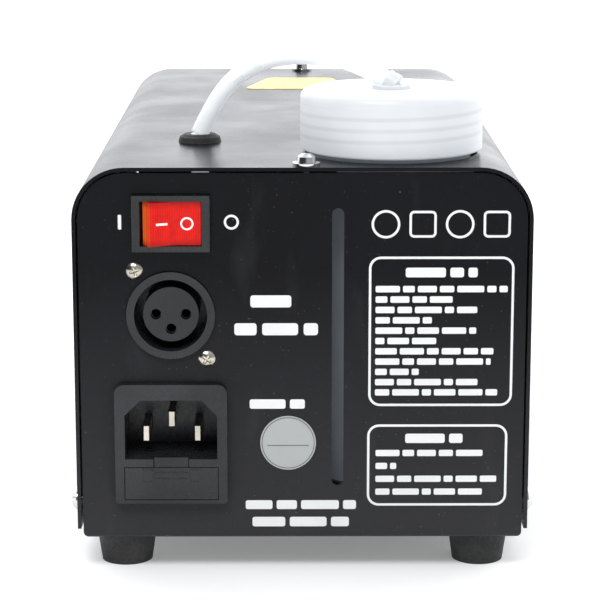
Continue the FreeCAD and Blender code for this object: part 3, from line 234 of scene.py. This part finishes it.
def cloudy_plastic(name, colour, clear, line_pitch=None, glow=0.0):
    """Natural polyethylene, cloudy and a little see-through; if it has a pitch, the shade of its inner thread seen
    through it is painted as faint darker lines.

    The glow stands in for daylight that passes through the plastic.
    """
    g = Graph(name)
    cloud = g.noise(75, 5)
    tint = g.mix(g.ramp(cloud, 0.3, 0.7, 0, 1), darker(colour, 0.05), colour)
    if line_pitch:
        # Painted shade: the thread seen through the wall is drawn as faint darker helical lines on the cap's side.
        place = g.split_place()
        x = g.maths("SUBTRACT", place["X"], CAP_CENTRE.x)
        y = g.maths("SUBTRACT", place["Y"], CAP_CENTRE.y)
        turn = g.maths("DIVIDE", g.maths("ARCTAN2", y, x), 2 * math.pi)
        rise = g.maths("DIVIDE", g.maths("SUBTRACT", place["Z"], CAP_LOW.z), line_pitch)
        wave = g.maths("FRACT", g.maths("ADD", g.maths("SUBTRACT", rise, turn), 20.0))
        edge = g.maths("ABSOLUTE", g.maths("SUBTRACT", wave, 0.5))
        line = g.ramp(edge, 0.1, 0.24, 1, 0)
        above_rim = g.ramp(place["Z"], CAP_LOW.z + 1.5 * MM, CAP_LOW.z + 2.5 * MM, 0, 1)
        below_top = g.ramp(place["Z"], CAP_HIGH.z - 4.2 * MM, CAP_HIGH.z - 3.2 * MM, 1, 0)
        square = g.maths("ADD", g.maths("MULTIPLY", x, x), g.maths("MULTIPLY", y, y))
        on_side = g.ramp(g.maths("SQRT", square), CAP_R - 1.2 * MM, CAP_R - 0.6 * MM, 0, 0.55)
        in_band = g.maths("MULTIPLY", below_top, on_side)
        painted_thread_shade = g.maths("MULTIPLY", g.maths("MULTIPLY", line, above_rim), in_band)
        tint = g.mix(painted_thread_shade, tint, darker(colour, 0.22))
    g.link(tint, g.shader.inputs["Base Color"])
    if glow:
        g.link(tint, g.shader.inputs["Emission Color"])
        g.set(Emission_Strength=glow)
    g.link(g.ramp(g.noise(500, 3), 0.3, 0.7, 0.3, 0.42), g.shader.inputs["Roughness"])
    g.set(
        Transmission_Weight=clear,
        IOR=1.5,
        Subsurface_Weight=0.25,
        Subsurface_Radius=(1, 1, 1),
        Subsurface_Scale=3 * MM,
    )
    g.bump(cloud, 0.05 * MM)
    return g.material


def lit_red():
    """Red see-through rocker plastic with ribs, lit from inside, orange at its raised end, with painted shade
    dimming its glow towards the rim.
    """
    g = Graph("rocker_red")
    place = g.split_place()
    rib_pitch = 0.62 * MM
    near_lamp = g.ramp(place["X"], PIVOT.x - 5.0 * MM, PIVOT.x - 6.6 * MM, 0, 1)
    height = g.maths("ABSOLUTE", g.maths("SUBTRACT", place["Z"], PIVOT.z))
    # Painted shade: the glow is dimmed towards the rocker's top and bottom rim.
    rim = g.ramp(height, 4.0 * MM, 5.6 * MM, 1, 0.35)
    ribs = g.maths("SINE", g.maths("MULTIPLY", place["X"], 2 * math.pi / rib_pitch))
    spots = g.ramp(g.noise(420, 2), 0.35, 0.65, 0, 1)
    red = g.mix(spots, (0.75, 0.004, 0.001), (1.0, 0.014, 0.004))
    glow = g.mix(near_lamp, red, (1.0, 0.2, 0.03))
    ribs_and_rim_shade = g.maths("MULTIPLY", rim, g.ramp(ribs, -1, 1, 0.72, 1.0))
    g.set(
        Base_Color=(0.3, 0.004, 0.002, 1),
        Coat_Weight=0.04,
        Coat_Roughness=0.1,
        Specular_IOR_Level=0.12,
    )
    g.link(glow, g.shader.inputs["Emission Color"])
    g.link(g.maths("MULTIPLY", ribs_and_rim_shade, 0.56), g.shader.inputs["Emission Strength"])
    g.link(g.ramp(g.noise(900, 3), 0.3, 0.7, 0.12, 0.2), g.shader.inputs["Roughness"])
    g.bump(ribs, 0.01 * MM)
    return g.material


def clear_hose():
    """Hazy, see-through silicone with a thin gloss, and a faint painted glow of light passing through it."""
    g = Graph("hose_silicone")
    haze = g.noise(160, 4)
    g.link(
        g.mix(g.ramp(haze, 0.3, 0.7, 0, 1), (0.88, 0.895, 0.91), (0.96, 0.97, 0.98)),
        g.shader.inputs["Base Color"],
    )
    g.link(g.ramp(haze, 0.3, 0.7, 0.25, 0.36), g.shader.inputs["Roughness"])
    # The emission is painted light: a faint pale glow, as if light passed through the hose.
    g.set(
        Transmission_Weight=0.22,
        IOR=1.3,
        Subsurface_Weight=0.35,
        Subsurface_Radius=(1, 1, 1),
        Subsurface_Scale=2 * MM,
        Coat_Weight=0.25,
        Coat_Roughness=0.15,
        Emission_Color=(0.9, 0.93, 0.96, 1),
        Emission_Strength=0.18,
    )
    g.bump(g.noise(260, 3), 0.004 * MM)
    return g.material


def board_film():
    """Green solder mask with lighter copper tracks showing through."""
    g = Graph("board_green")
    tracks = g.add("ShaderNodeTexBrick")
    tracks.inputs["Scale"].default_value = 260
    tracks.inputs["Mortar Size"].default_value = 0.035
    for name, colour in (
        ("Color1", (0.012, 0.12, 0.035)),
        ("Color2", (0.014, 0.14, 0.04)),
        ("Mortar", (0.05, 0.26, 0.09)),
    ):
        tracks.inputs[name].default_value = (*colour, 1)
    g.link(g.place, tracks.inputs["Vector"])
    g.link(tracks.outputs["Color"], g.shader.inputs["Base Color"])
    g.link(g.ramp(g.noise(400, 3), 0.3, 0.7, 0.25, 0.4), g.shader.inputs["Roughness"])
    g.bump(tracks.outputs["Fac"], 0.05 * MM)
    return g.material


def make_materials():
    """One material for each kind of surface, by the record's slot name."""
    brushed = (1, 30, 1)
    return {
        "case_black": powder_coat(),
        "rubber_black": rubber(),
        "chrome": plain_surface("chrome", (0.66, 0.66, 0.67), 0.1, 0.1, 900, 0.004, 1.0),
        "nickel": plain_surface("nickel", (0.6, 0.56, 0.48), 0.2, 0.3, 1100, 0.01, 1.0, brushed),
        "steel": plain_surface("steel", (0.5, 0.51, 0.52), 0.36, 0.2, 900, 0.015, 1.0, brushed),
        "black_plastic": plain_surface(
            "black_plastic", (0.013, 0.0135, 0.017), 0.3, 0.2, 1600, 0.02, 0.0, None, Specular_IOR_Level=0.35
        ),
        "red_rocker": lit_red(),
        "brass": plain_surface("brass", (0.78, 0.56, 0.24), 0.25, 0.2, 1100, 0.01, 1.0, brushed),
        "glass": plain_surface(
            "fuse_glass", (0.95, 0.97, 0.96), 0.05, 0.02, 300, 0.001, 0.0, None, Transmission_Weight=0.95
        ),
        "tank_plastic": cloudy_plastic("tank_plastic", (0.36, 0.4, 0.44), 0.1, None, 0.07),
        "cap_plastic": cloudy_plastic("cap_plastic", (0.56, 0.575, 0.59), 0.15, THREAD_PITCH, 0.42),
        "hose_clear": clear_hose(),
        "cast_aluminium": plain_surface("cast_aluminium", (0.55, 0.56, 0.57), 0.5, 0.25, 380, 0.15, 1.0),
        "insulation": plain_surface("insulation", (0.7, 0.67, 0.6), 0.95, 0.3, 520, 0.4),
        "winding": plain_surface("winding", (0.02, 0.02, 0.022), 0.3, 0.2, 600, 0.04),
        "board_green": board_film(),
        "board_parts": plain_surface("board_parts", (0.03, 0.035, 0.05), 0.4, 0.2, 900, 0.02),
        "wire_cover": plain_surface("wire_cover", (0.16, 0.06, 0.03), 0.35, 0.2, 500, 0.02),
        "label_yellow": plain_surface("label_yellow", (0.86, 0.62, 0.03), 0.35, 0.08, 500, 0.01),
        "label_silver": plain_surface("label_silver", (0.41, 0.43, 0.43), 0.42, 0.06, 700, 0.01, 0.1),
    }


MATERIALS = make_materials()
INK = plain_surface("white_ink", (0.82, 0.83, 0.83), 0.5, 0.06, 1300, 0.01)
MARK = plain_surface("mark_white", (0.92, 0.9, 0.88), 0.35, 0.04, 900, 0.005)
# Painted shade: the brass socket contacts sit far inside their holes and get a darkened bronze colour for the
# shade there.
SHADED_CONTACT = plain_surface("shaded_contact", (0.1, 0.085, 0.07), 0.4, 0.2, 900, 0.01, 1.0)
FINE_LINE = plain_surface("label_line", (0.12, 0.12, 0.12), 0.5, 0.1, 900, 0.005)


# ---------------------------------------------------------------- pieces


def piece(name, verts, faces, body, slot, material=None, smooth=False):
    """A mesh piece that rides on a body."""
    mesh = bpy.data.meshes.new(name)
    mesh.from_pydata([tuple(v) for v in verts], [], faces)
    clean = bmesh.new()
    clean.from_mesh(mesh)
    bmesh.ops.recalc_face_normals(clean, faces=clean.faces)
    clean.to_mesh(mesh)
    clean.free()
    made = bpy.data.objects.new(name, mesh)
    bpy.context.scene.collection.objects.link(made)
    mesh.materials.append(material or MATERIALS[slot])
    mesh.polygons.foreach_set("use_smooth", [smooth] * len(mesh.polygons))
    if body:
        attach(made, body)
    return made


def lathe(profile, centre, segments=128):
    """Points and faces of a closed outline of radius and height turned about an upright axis."""
    verts, faces, count = [], [], len(profile)
    for s in range(segments):
        angle = 2 * math.pi * s / segments
        way = Vector((math.cos(angle), math.sin(angle), 0))
        verts += [Vector(centre) + way * r + Vector((0, 0, z)) for r, z in profile]
    for s in range(segments):
        after = (s + 1) % segments
        for i in range(count):
            j = (i + 1) % count
            faces.append((s * count + i, s * count + j, after * count + j, after * count + i))
    return verts, faces


def arc(centre, radius, start, end, steps=8):
    """Points of an arc, with its angles in degrees."""
    turns = [math.radians(start + (end - start) * i / steps) for i in range(steps + 1)]
    return [(centre[0] + radius * math.cos(t), centre[1] + radius * math.sin(t)) for t in turns]


def finish_nodes():
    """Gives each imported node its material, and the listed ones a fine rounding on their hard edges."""
    slots = {row["node"]: row["material_slot"] for row in frame["record"]["subparts"]}
    eased = {
        "cover": 0.25, "chassis": 0.2, "switch_housing": 0.35, "switch_rocker": 0.3, "inlet_housing": 0.45,
        "fuse_drawer": 0.35, "remote_socket_shell": 0.4, "remote_socket_insert": 0.3, "inlet_pins": 0.5,
        "foot_rear_left": 0.5, "foot_rear_right": 0.5, "foot_front_left": 0.5, "foot_front_right": 0.5,
        "nozzle": 0.3, "nozzle_ring": 0.4, "remote_socket_screws": 0.15, "hose_grommet": 0.3,
        "board_relay": 0.5, "board_transformer": 0.5, "board_terminals": 0.4, "heater_block": 0.8,
        "heater_sleeve": 0.2, "pump_yoke": 0.3, "pump_coil": 0.6, "hose_bush": 0.2,
    }
    for name, node in NODES.items():
        node.data.materials.clear()
        # The socket's contacts take the darkened material, painted shade for their holes.
        contacts_in_shade = name == "remote_socket_contacts"
        node.data.materials.append(SHADED_CONTACT if contacts_in_shade else MATERIALS[slots[name]])
        if name in eased:
            bevel = node.modifiers.new("soft_edges", "BEVEL")
            bevel.width = eased[name] * MM
            bevel.segments = 2
            bevel.limit_method = "ANGLE"
            bevel.angle_limit = math.radians(40)
            bevel.harden_normals = False


class Print:
    """Flat ink shapes on the control panel, gathered into one mesh."""

    THICK = 0.05 * MM

    def __init__(self):
        self.verts = []
        self.faces = []

    def strip(self, outer, inner=None):
        """A closed shape, or a ring between two outlines of as many points."""
        loops = [outer] if inner is None else [outer, inner]
        start, count = len(self.verts), len(outer)
        for y in (PANEL, PANEL - self.THICK):
            for loop in loops:
                self.verts += [(x, y, z) for x, z in loop]
        back, front = start, start + count * len(loops)
        if inner is None:
            self.faces += [tuple(range(back, back + count)), tuple(range(front, front + count))]
        for i in range(count):
            j = (i + 1) % count
            self.faces.append((back + i, back + j, front + j, front + i))
            if inner is not None:
                self.faces.append((back + count + i, back + count + j, front + count + j, front + count + i))
                for side in (back, front):
                    self.faces.append((side + i, side + j, side + count + j, side + count + i))

    def bar(self, x, z, width, height):
        """A plain bar from its left end, centred on a height."""
        r = min(height, width) * 0.22
        self.strip(rounded(x, z - height / 2, x + width, z + height / 2, r, 3))

    def ring(self, x, z, radius, line):
        """A ring of a line's width, inside a radius."""
        turns = [2 * math.pi * i / 40 for i in range(40)]
        loops = [[(x + r * math.cos(t), z + r * math.sin(t)) for t in turns] for r in (radius, radius - line)]
        self.strip(*loops)

    def frame(self, x, z, width, height, radius, line):
        """A frame with round corners, from its lower left corner."""
        outer = rounded(x, z, x + width, z + height, radius)
        inner = rounded(x + line, z + line, x + width - line, z + height - line, radius - line)
        self.strip(outer, inner)


def rounded(x0, z0, x1, z1, r, steps=8):
    """The outline of a rectangle with round corners."""
    return (
        arc((x1 - r, z1 - r), r, 0, 90, steps)
        + arc((x0 + r, z1 - r), r, 90, 180, steps)
        + arc((x0 + r, z0 + r), r, 180, 270, steps)
        + arc((x1 - r, z0 + r), r, 270, 360, steps)
    )


WORD_LENGTHS = (7.4, 3.6, 5.8, 4.4, 8.2, 2.8, 6.6)


def word_line(ink, x, up, width, height, seed=0):
    """A line of plain bars, as long as words and with word gaps between them."""
    gap, done, i = height * 0.45, 0.0, seed
    left, z = on_panel(x, up)
    while done < width - 1.2:
        length = min(WORD_LENGTHS[i % len(WORD_LENGTHS)] * height / 2.0, width - done)
        ink.bar(left + done * MM, z, length * MM, height * MM)
        done += length + gap
        i += 1


def make_print():
    """The white print: plain bars where words would be, power marks, and two framed blocks."""
    ink = Print()
    on_x, switch_z = on_panel(-48.3, 87.4)
    ink.bar(on_x - 0.45 * MM, switch_z, 0.9 * MM, 3.9 * MM)
    off_x, _ = on_panel(-18.8, 87.4)
    ink.ring(off_x, switch_z, 2.0 * MM, 0.62 * MM)
    for x, up, width, height in (
        (-13.9, 66.0, 13.5, 3.3),
        (-18.2, 58.4, 22.3, 3.3),
        (-14.2, 37.8, 14.8, 2.6),
        (-15.4, 9.6, 30.6, 2.5),
        (-13.6, 4.8, 27.3, 2.7),
    ):
        word_line(ink, x, up, width, height, int(width))
    make_blocks(ink)
    piece("panel_print", ink.verts, ink.faces, "root", "label_silver", INK)


def make_blocks(ink):
    """Two framed blocks of plain lines, and a row of plain outlines above them."""
    line = 0.65
    for i in range(4):
        x, z = on_panel(22.0 + i * 9.8, 86.8)
        if i % 2:
            ink.frame(x - 3.6 * MM, z - 3.6 * MM, 7.2 * MM, 7.2 * MM, 1.3 * MM, line * MM)
        else:
            ink.ring(x, z, 3.8 * MM, line * MM)
    first = ((35.1, 20.5, 27.1, 16.5, 26.9, 17.3, 31.6, 30.9, 11.7, 28.5, 33.5), 69.3, 2.83, 19.4)
    second = ((30.1, 5.6, 32.7, 30.1), 24.1, 3.62, 19.7)
    for centre, low, width, height, heading, head_up, lines in (
        (36.9, 37.2, 38.6, 40.9, 19.1, 73.8, first),
        (36.3, 9.3, 37.8, 22.8, 17.3, 28.2, second),
    ):
        x, z = on_panel(centre - width / 2, low)
        ink.frame(x, z, width * MM, height * MM, 3.2 * MM, line * MM)
        word_line(ink, centre - heading / 2, head_up, heading, 2.6, 4)
        lengths, top, pitch, start = lines
        for i, length in enumerate(lengths):
            word_line(ink, start, top - i * pitch, length, 1.75, i)


def make_switch_marks():
    """The two plain marks on the rocker: a bar on its raised half and a ring on its pressed half."""
    swing = math.radians(22)
    half_swing = swing / 2
    valley = 4.28 * MM
    face_y = PIVOT.y - valley * math.cos(half_swing)
    valley_x = PIVOT.x + valley * math.sin(half_swing)
    clear = 0.01 * MM
    ring = Print()
    ring.ring(valley_x + 3.5 * MM, PIVOT.z, 1.75 * MM, 0.5 * MM)
    verts = [(x, y - PANEL + face_y, z) for x, y, z in ring.verts]
    piece("rocker_off_mark", verts, ring.faces, "rocker", "red_rocker", MARK)
    bar = Print()
    bar.bar(-1.6 * MM, 0, 3.2 * MM, 0.62 * MM)
    slope = Matrix.Rotation(swing, 4, "Z")
    middle = Vector((valley_x, face_y, PIVOT.z)) + slope @ Vector((-3.3 * MM, 0, 0))
    verts = [middle + slope @ Vector((x, y - PANEL + clear, z)) for x, y, z in bar.verts]
    piece("rocker_on_mark", verts, bar.faces, "rocker", "red_rocker", MARK)


def make_small_marks():
    """A raised outline on the fuse drawer, and thin lines on the sticker."""
    sign = Print()
    x, z = (DRAWER_LOW.x + DRAWER_HIGH.x) / 2, (DRAWER_LOW.z + DRAWER_HIGH.z) / 2
    sign.frame(x - 4.6 * MM, z - 0.2 * MM, 9.2 * MM, 2.0 * MM, 0.4 * MM, 0.28 * MM)
    for side in (-1, 1):
        sign.frame(x + side * 6.3 * MM - 1.5 * MM, z - 1.0 * MM, 3.0 * MM, 3.6 * MM, 0.4 * MM, 0.28 * MM)
    to_drawer = DRAWER_LOW.y - PANEL + 0.02 * MM
    raised = 0.1 * MM
    verts = [(a, b + to_drawer - (raised if b < PANEL else 0), c) for a, b, c in sign.verts]
    piece("drawer_symbol", verts, sign.faces, "drawer", "black_plastic")
    lines = Print()
    x, z = STICKER_CENTRE.x, STICKER_CENTRE.z
    radius = (STICKER_HIGH.x - STICKER_LOW.x) / 2
    lines.ring(x, z, radius - 0.35 * MM, 0.22 * MM)
    lines.bar(x - 5.6 * MM, z - 0.7 * MM, 11.2 * MM, 0.22 * MM)
    verts = [(a, b + STICKER_LOW.y - PANEL + 0.01 * MM, c) for a, b, c in lines.verts]
    piece("sticker_lines", verts, lines.faces, "root", "label_silver", FINE_LINE)


def cross_head(name, x, y, z, radius, height, turn, body, slot):
    """A domed screw head facing the panel's front, with a cross recess pressed into it."""
    rings, segments = 44, 112
    arm, reach, depth, slope = radius * 0.17, radius * 0.6, height * 0.75, radius * 0.07
    verts = [(x, y - height + depth, z)]
    for i in range(1, rings + 1):
        r = radius * i / rings
        top = height * (1 - (r / radius) ** 2.6)
        for s in range(segments):
            angle = 2 * math.pi * s / segments
            across, up = r * math.cos(angle - turn), r * math.sin(angle - turn)
            inside = min(reach - r, arm - min(abs(across), abs(up)))
            sunk = depth * min(1.0, max(0.0, inside / slope)) * (1 - 0.35 * r / reach if r < reach else 0)
            level = max(top - sunk, 0.0)
            verts.append((x + r * math.cos(angle), y - level, z + r * math.sin(angle)))
    faces = [(0, 1 + s, 1 + (s + 1) % segments) for s in range(segments)]
    for i in range(rings - 1):
        for s in range(segments):
            a, b = 1 + i * segments + s, 1 + i * segments + (s + 1) % segments
            faces.append((a, b, b + segments, a + segments))
    last = 1 + (rings - 1) * segments
    back = len(verts)
    verts += [(vx, y + 0.02 * MM, vz) for vx, vy, vz in verts[last:last + segments]]
    for s in range(segments):
        t = (s + 1) % segments
        faces.append((last + s, last + t, back + t, back + s))
    faces.append(tuple(range(back, back + segments)))
    made = piece(name, verts, faces, body, slot, None, True)
    sharp_by_angle(made, 32)
    return made


def make_socket_screws():
    """The two cross-recess screws that hold the socket."""
    low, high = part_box("remote_socket_screws")
    radius = 2.25 * MM
    height = PANEL - low.y
    first = cross_head(
        "socket_screw_upper", low.x + radius, PANEL, high.z - radius, radius, height, 0.35, "root", "nickel"
    )
    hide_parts("remote_socket_screws")
    cross_head(
        "socket_screw_lower", high.x - radius, PANEL, low.z + radius, radius, height, 1.0, "root", "nickel"
    )


def make_cap():
    """The cap turned finely, its thread inside, and the thread of the tank's neck.

    Its skirt reaches below the solid's, down to just above the roof.
    """
    wall, top, edge = 1.6 * MM, 1.8 * MM, 2.5 * MM
    hole = 4.1 * MM
    neck_r = 21.62 * MM
    height = CAP_HIGH.z - CAP_LOW.z
    dished = height - 0.05 * MM
    rim = -0.9 * MM
    profile = (
        [(hole, dished), (CAP_R - 7 * MM, dished), (CAP_R - 6.4 * MM, height)]
        + arc((CAP_R - edge, height - edge), edge, 90, 0, 8)
        + [(CAP_R, rim + 0.4 * MM), (CAP_R - 0.3 * MM, rim), (CAP_R - wall + 0.3 * MM, rim)]
        + [(CAP_R - wall, rim + 0.3 * MM), (CAP_R - wall, height - top - 0.6 * MM)]
        + [(CAP_R - wall - 0.6 * MM, height - top), (hole, height - top)]
    )
    centre = (CAP_CENTRE.x, CAP_CENTRE.y, CAP_LOW.z)
    verts, faces = lathe(profile, centre, 160)
    cap = piece("screw_cap", verts, faces, "cap", "cap_plastic", None, True)
    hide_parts("tank_cap")
    sharp_by_angle(cap, 35)
    inner = CAP_R - wall
    thread("cap_thread", inner - 0.02 * MM, -1.2 * MM, CAP_LOW.z + 2 * MM, 2.6, "cap", "cap_plastic")
    thread("neck_thread", neck_r, 0.55 * MM, CAP_LOW.z + 3.5 * MM, 2.6, "root", "tank_plastic")


def thread(name, radius, depth, low, turns, body, slot):
    """A helical ridge, standing out from a radius by a depth, or in from it if that is negative."""
    half, crest = 0.62 * MM, 0.28 * MM
    per_turn = 72
    total = int(turns * per_turn)
    verts, faces = [], []
    for i in range(total + 1):
        angle = 2 * math.pi * i / per_turn
        fade = min(1.0, i / 10, (total - i) / 10)
        z = low + THREAD_PITCH * i / per_turn
        out = radius + depth * max(fade, 0.05)
        for r, up in ((radius, -half), (out, -crest), (out, crest), (radius, half)):
            x, y = r * math.cos(angle), r * math.sin(angle)
            verts.append((CAP_CENTRE.x + x, CAP_CENTRE.y + y, z + up))
    for i in range(total):
        for k in range(4):
            a, b = i * 4 + k, i * 4 + (k + 1) % 4
            faces.append((a, b, b + 4, a + 4))
    faces += [(0, 1, 2, 3), tuple(total * 4 + k for k in range(4))]
    return piece(name, verts, faces, body, slot, None, False)


def sharp_by_angle(obj, degrees):
    """Smooth shading that stays sharp past an angle."""
    bm = bmesh.new()
    bm.from_mesh(obj.data)
    for edge in bm.edges:
        edge.smooth = not edge.is_manifold or edge.calc_face_angle(0) < math.radians(degrees)
    bm.to_mesh(obj.data)
    bm.free()


# ---------------------------------------------------------------- hose

HOSE_R, HOSE_BORE = 2.5 * MM, 1.5 * MM
HOSE_ROUTE = (
    (-28.9, 49.5, 2.2),
    (-24.0, 47.7, 12.8),
    (-16.2, 44.8, 21.0),
    (-6.2, 41.1, 25.2),
    (4.6, 37.1, 25.6),
    (15.3, 33.3, 24.1),
    (24.5, 30.0, 18.8),
)


def hose_line():
    """Points along the hose's smooth centre line."""
    curve = bpy.data.curves.new("hose_line", "CURVE")
    curve.dimensions = "3D"
    curve.resolution_u = 24
    spline = curve.splines.new("NURBS")
    spline.points.add(len(HOSE_ROUTE) - 1)
    for point, (x, y, z) in zip(spline.points, HOSE_ROUTE):
        point.co = (x * MM, REAR + y * MM, ROOF + z * MM, 1)
    spline.order_u = 3
    spline.use_endpoint_u = True
    holder = bpy.data.objects.new("hose_line", curve)
    bpy.context.scene.collection.objects.link(holder)
    bpy.context.view_layer.update()
    mesh = bpy.data.meshes.new_from_object(holder)
    points = [v.co.copy() for v in mesh.vertices]
    bpy.data.objects.remove(holder)
    bpy.data.meshes.remove(mesh)
    return points


def tube_mesh(points, outer, inner, sides=32):
    """A hollow tube along points, with open bores and flat ends."""
    verts, faces = [], []
    ways = [
        (points[min(i + 1, len(points) - 1)] - points[max(i - 1, 0)]).normalized()
        for i in range(len(points))
    ]
    side = ways[0].orthogonal().normalized()
    for point, way in zip(points, ways):
        side = (side - way * side.dot(way)).normalized()
        up = way.cross(side)
        for radius in (outer, inner):
            for s in range(sides):
                angle = 2 * math.pi * s / sides
                verts.append(point + (side * math.cos(angle) + up * math.sin(angle)) * radius)
    ring = 2 * sides
    for i in range(len(points) - 1):
        for layer in (0, sides):
            for s in range(sides):
                a, b = i * ring + layer + s, i * ring + layer + (s + 1) % sides
                faces.append((a, b, b + ring, a + ring))
    for start in (0, (len(points) - 1) * ring):
        for s in range(sides):
            t = (s + 1) % sides
            faces.append((start + s, start + t, start + sides + t, start + sides + s))
    return verts, faces


def make_hose():
    """The clear hose from the grommet to the cap, as one fixed curved tube."""
    points = hose_line()
    verts, faces = tube_mesh(points, HOSE_R, HOSE_BORE)
    hose = piece("fluid_hose", verts, faces, None, "hose_clear", None, True)
    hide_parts("supply_hose")
    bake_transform(hose)


# ---------------------------------------------------------------- stage, light and camera


def make_camera():
    """The camera behind the control panel, a little above the roof."""
    data = bpy.data.cameras.new("camera")
    data.lens = 132.9
    data.sensor_width = 36
    data.clip_start = 0.01
    data.clip_end = 50
    camera = bpy.data.objects.new("camera", data)
    bpy.context.scene.collection.objects.link(camera)
    camera.location = (-3.1 * MM, REAR - 575 * MM, BASE + 190.5 * MM)
    down, right = math.radians(12.17), math.radians(0.24)
    camera.rotation_euler = (math.pi / 2 - down, 0, -right)
    bpy.context.scene.camera = camera


def area_light(name, at, towards, size, power):
    """A rectangular soft light, aimed at a place."""
    data = bpy.data.lights.new(name, "AREA")
    data.shape = "RECTANGLE"
    data.size, data.size_y = size
    data.energy = power
    light = bpy.data.objects.new(name, data)
    bpy.context.scene.collection.objects.link(light)
    light.location = at
    light.rotation_euler = (Vector(towards) - Vector(at)).to_track_quat("-Z", "Y").to_euler()


def light_world(tree):
    """White light from above and behind, and much less from in front."""
    background = tree.nodes["Background"]
    background.inputs["Color"].default_value = (0.95, 0.97, 1, 1)
    split = tree.nodes.new("ShaderNodeSeparateXYZ")
    tree.links.new(tree.nodes.new("ShaderNodeTexCoord").outputs["Generated"], split.inputs["Vector"])
    total = None
    for axis, low, high, first, last in (
        ("Y", -0.1, 0.6, 0.1, 2.1),
        ("Z", 0.3, 0.95, 0.0, 0.25),
        ("X", -0.3, 0.2, -0.05, 0.45),
    ):
        ramp = tree.nodes.new("ShaderNodeMapRange")
        set_range(ramp, low, high, first, last)
        tree.links.new(split.outputs[axis], ramp.inputs["Value"])
        if total is None:
            total = ramp.outputs["Result"]
            continue
        added = tree.nodes.new("ShaderNodeMath")
        tree.links.new(total, added.inputs[0])
        tree.links.new(ramp.outputs["Result"], added.inputs[1])
        total = added.outputs["Value"]
    tree.links.new(total, background.inputs["Strength"])


def make_stage():
    """A pale floor, a pale world and soft studio lights."""
    mesh = bpy.data.meshes.new("floor")
    reach = 6.0
    corners = [(-reach, -reach, 0), (reach, -reach, 0), (reach, reach, 0), (-reach, reach, 0)]
    mesh.from_pydata(corners, [], [(0, 1, 2, 3)])
    floor = bpy.data.objects.new("floor", mesh)
    bpy.context.scene.collection.objects.link(floor)
    g = Graph("floor_white")
    g.set(
        Base_Color=(0.93, 0.93, 0.93, 1),
        Roughness=0.8,
        Emission_Color=(1, 1, 1, 1),
        Emission_Strength=0.22,
    )
    mesh.materials.append(g.material)
    world = bpy.data.worlds.new("studio")
    world.use_nodes = True
    light_world(world.node_tree)
    bpy.context.scene.world = world
    area_light("key", (-0.25, -0.75, 1.05), (0, -0.1, 0.05), (0.7, 0.4), 8.5)
    scene = bpy.context.scene
    scene.view_settings.view_transform = "Standard"
    scene.view_settings.look = "None"


make_camera()
make_hose()
finish_nodes()
make_print()
make_switch_marks()
make_small_marks()
make_socket_screws()
make_cap()
make_stage()
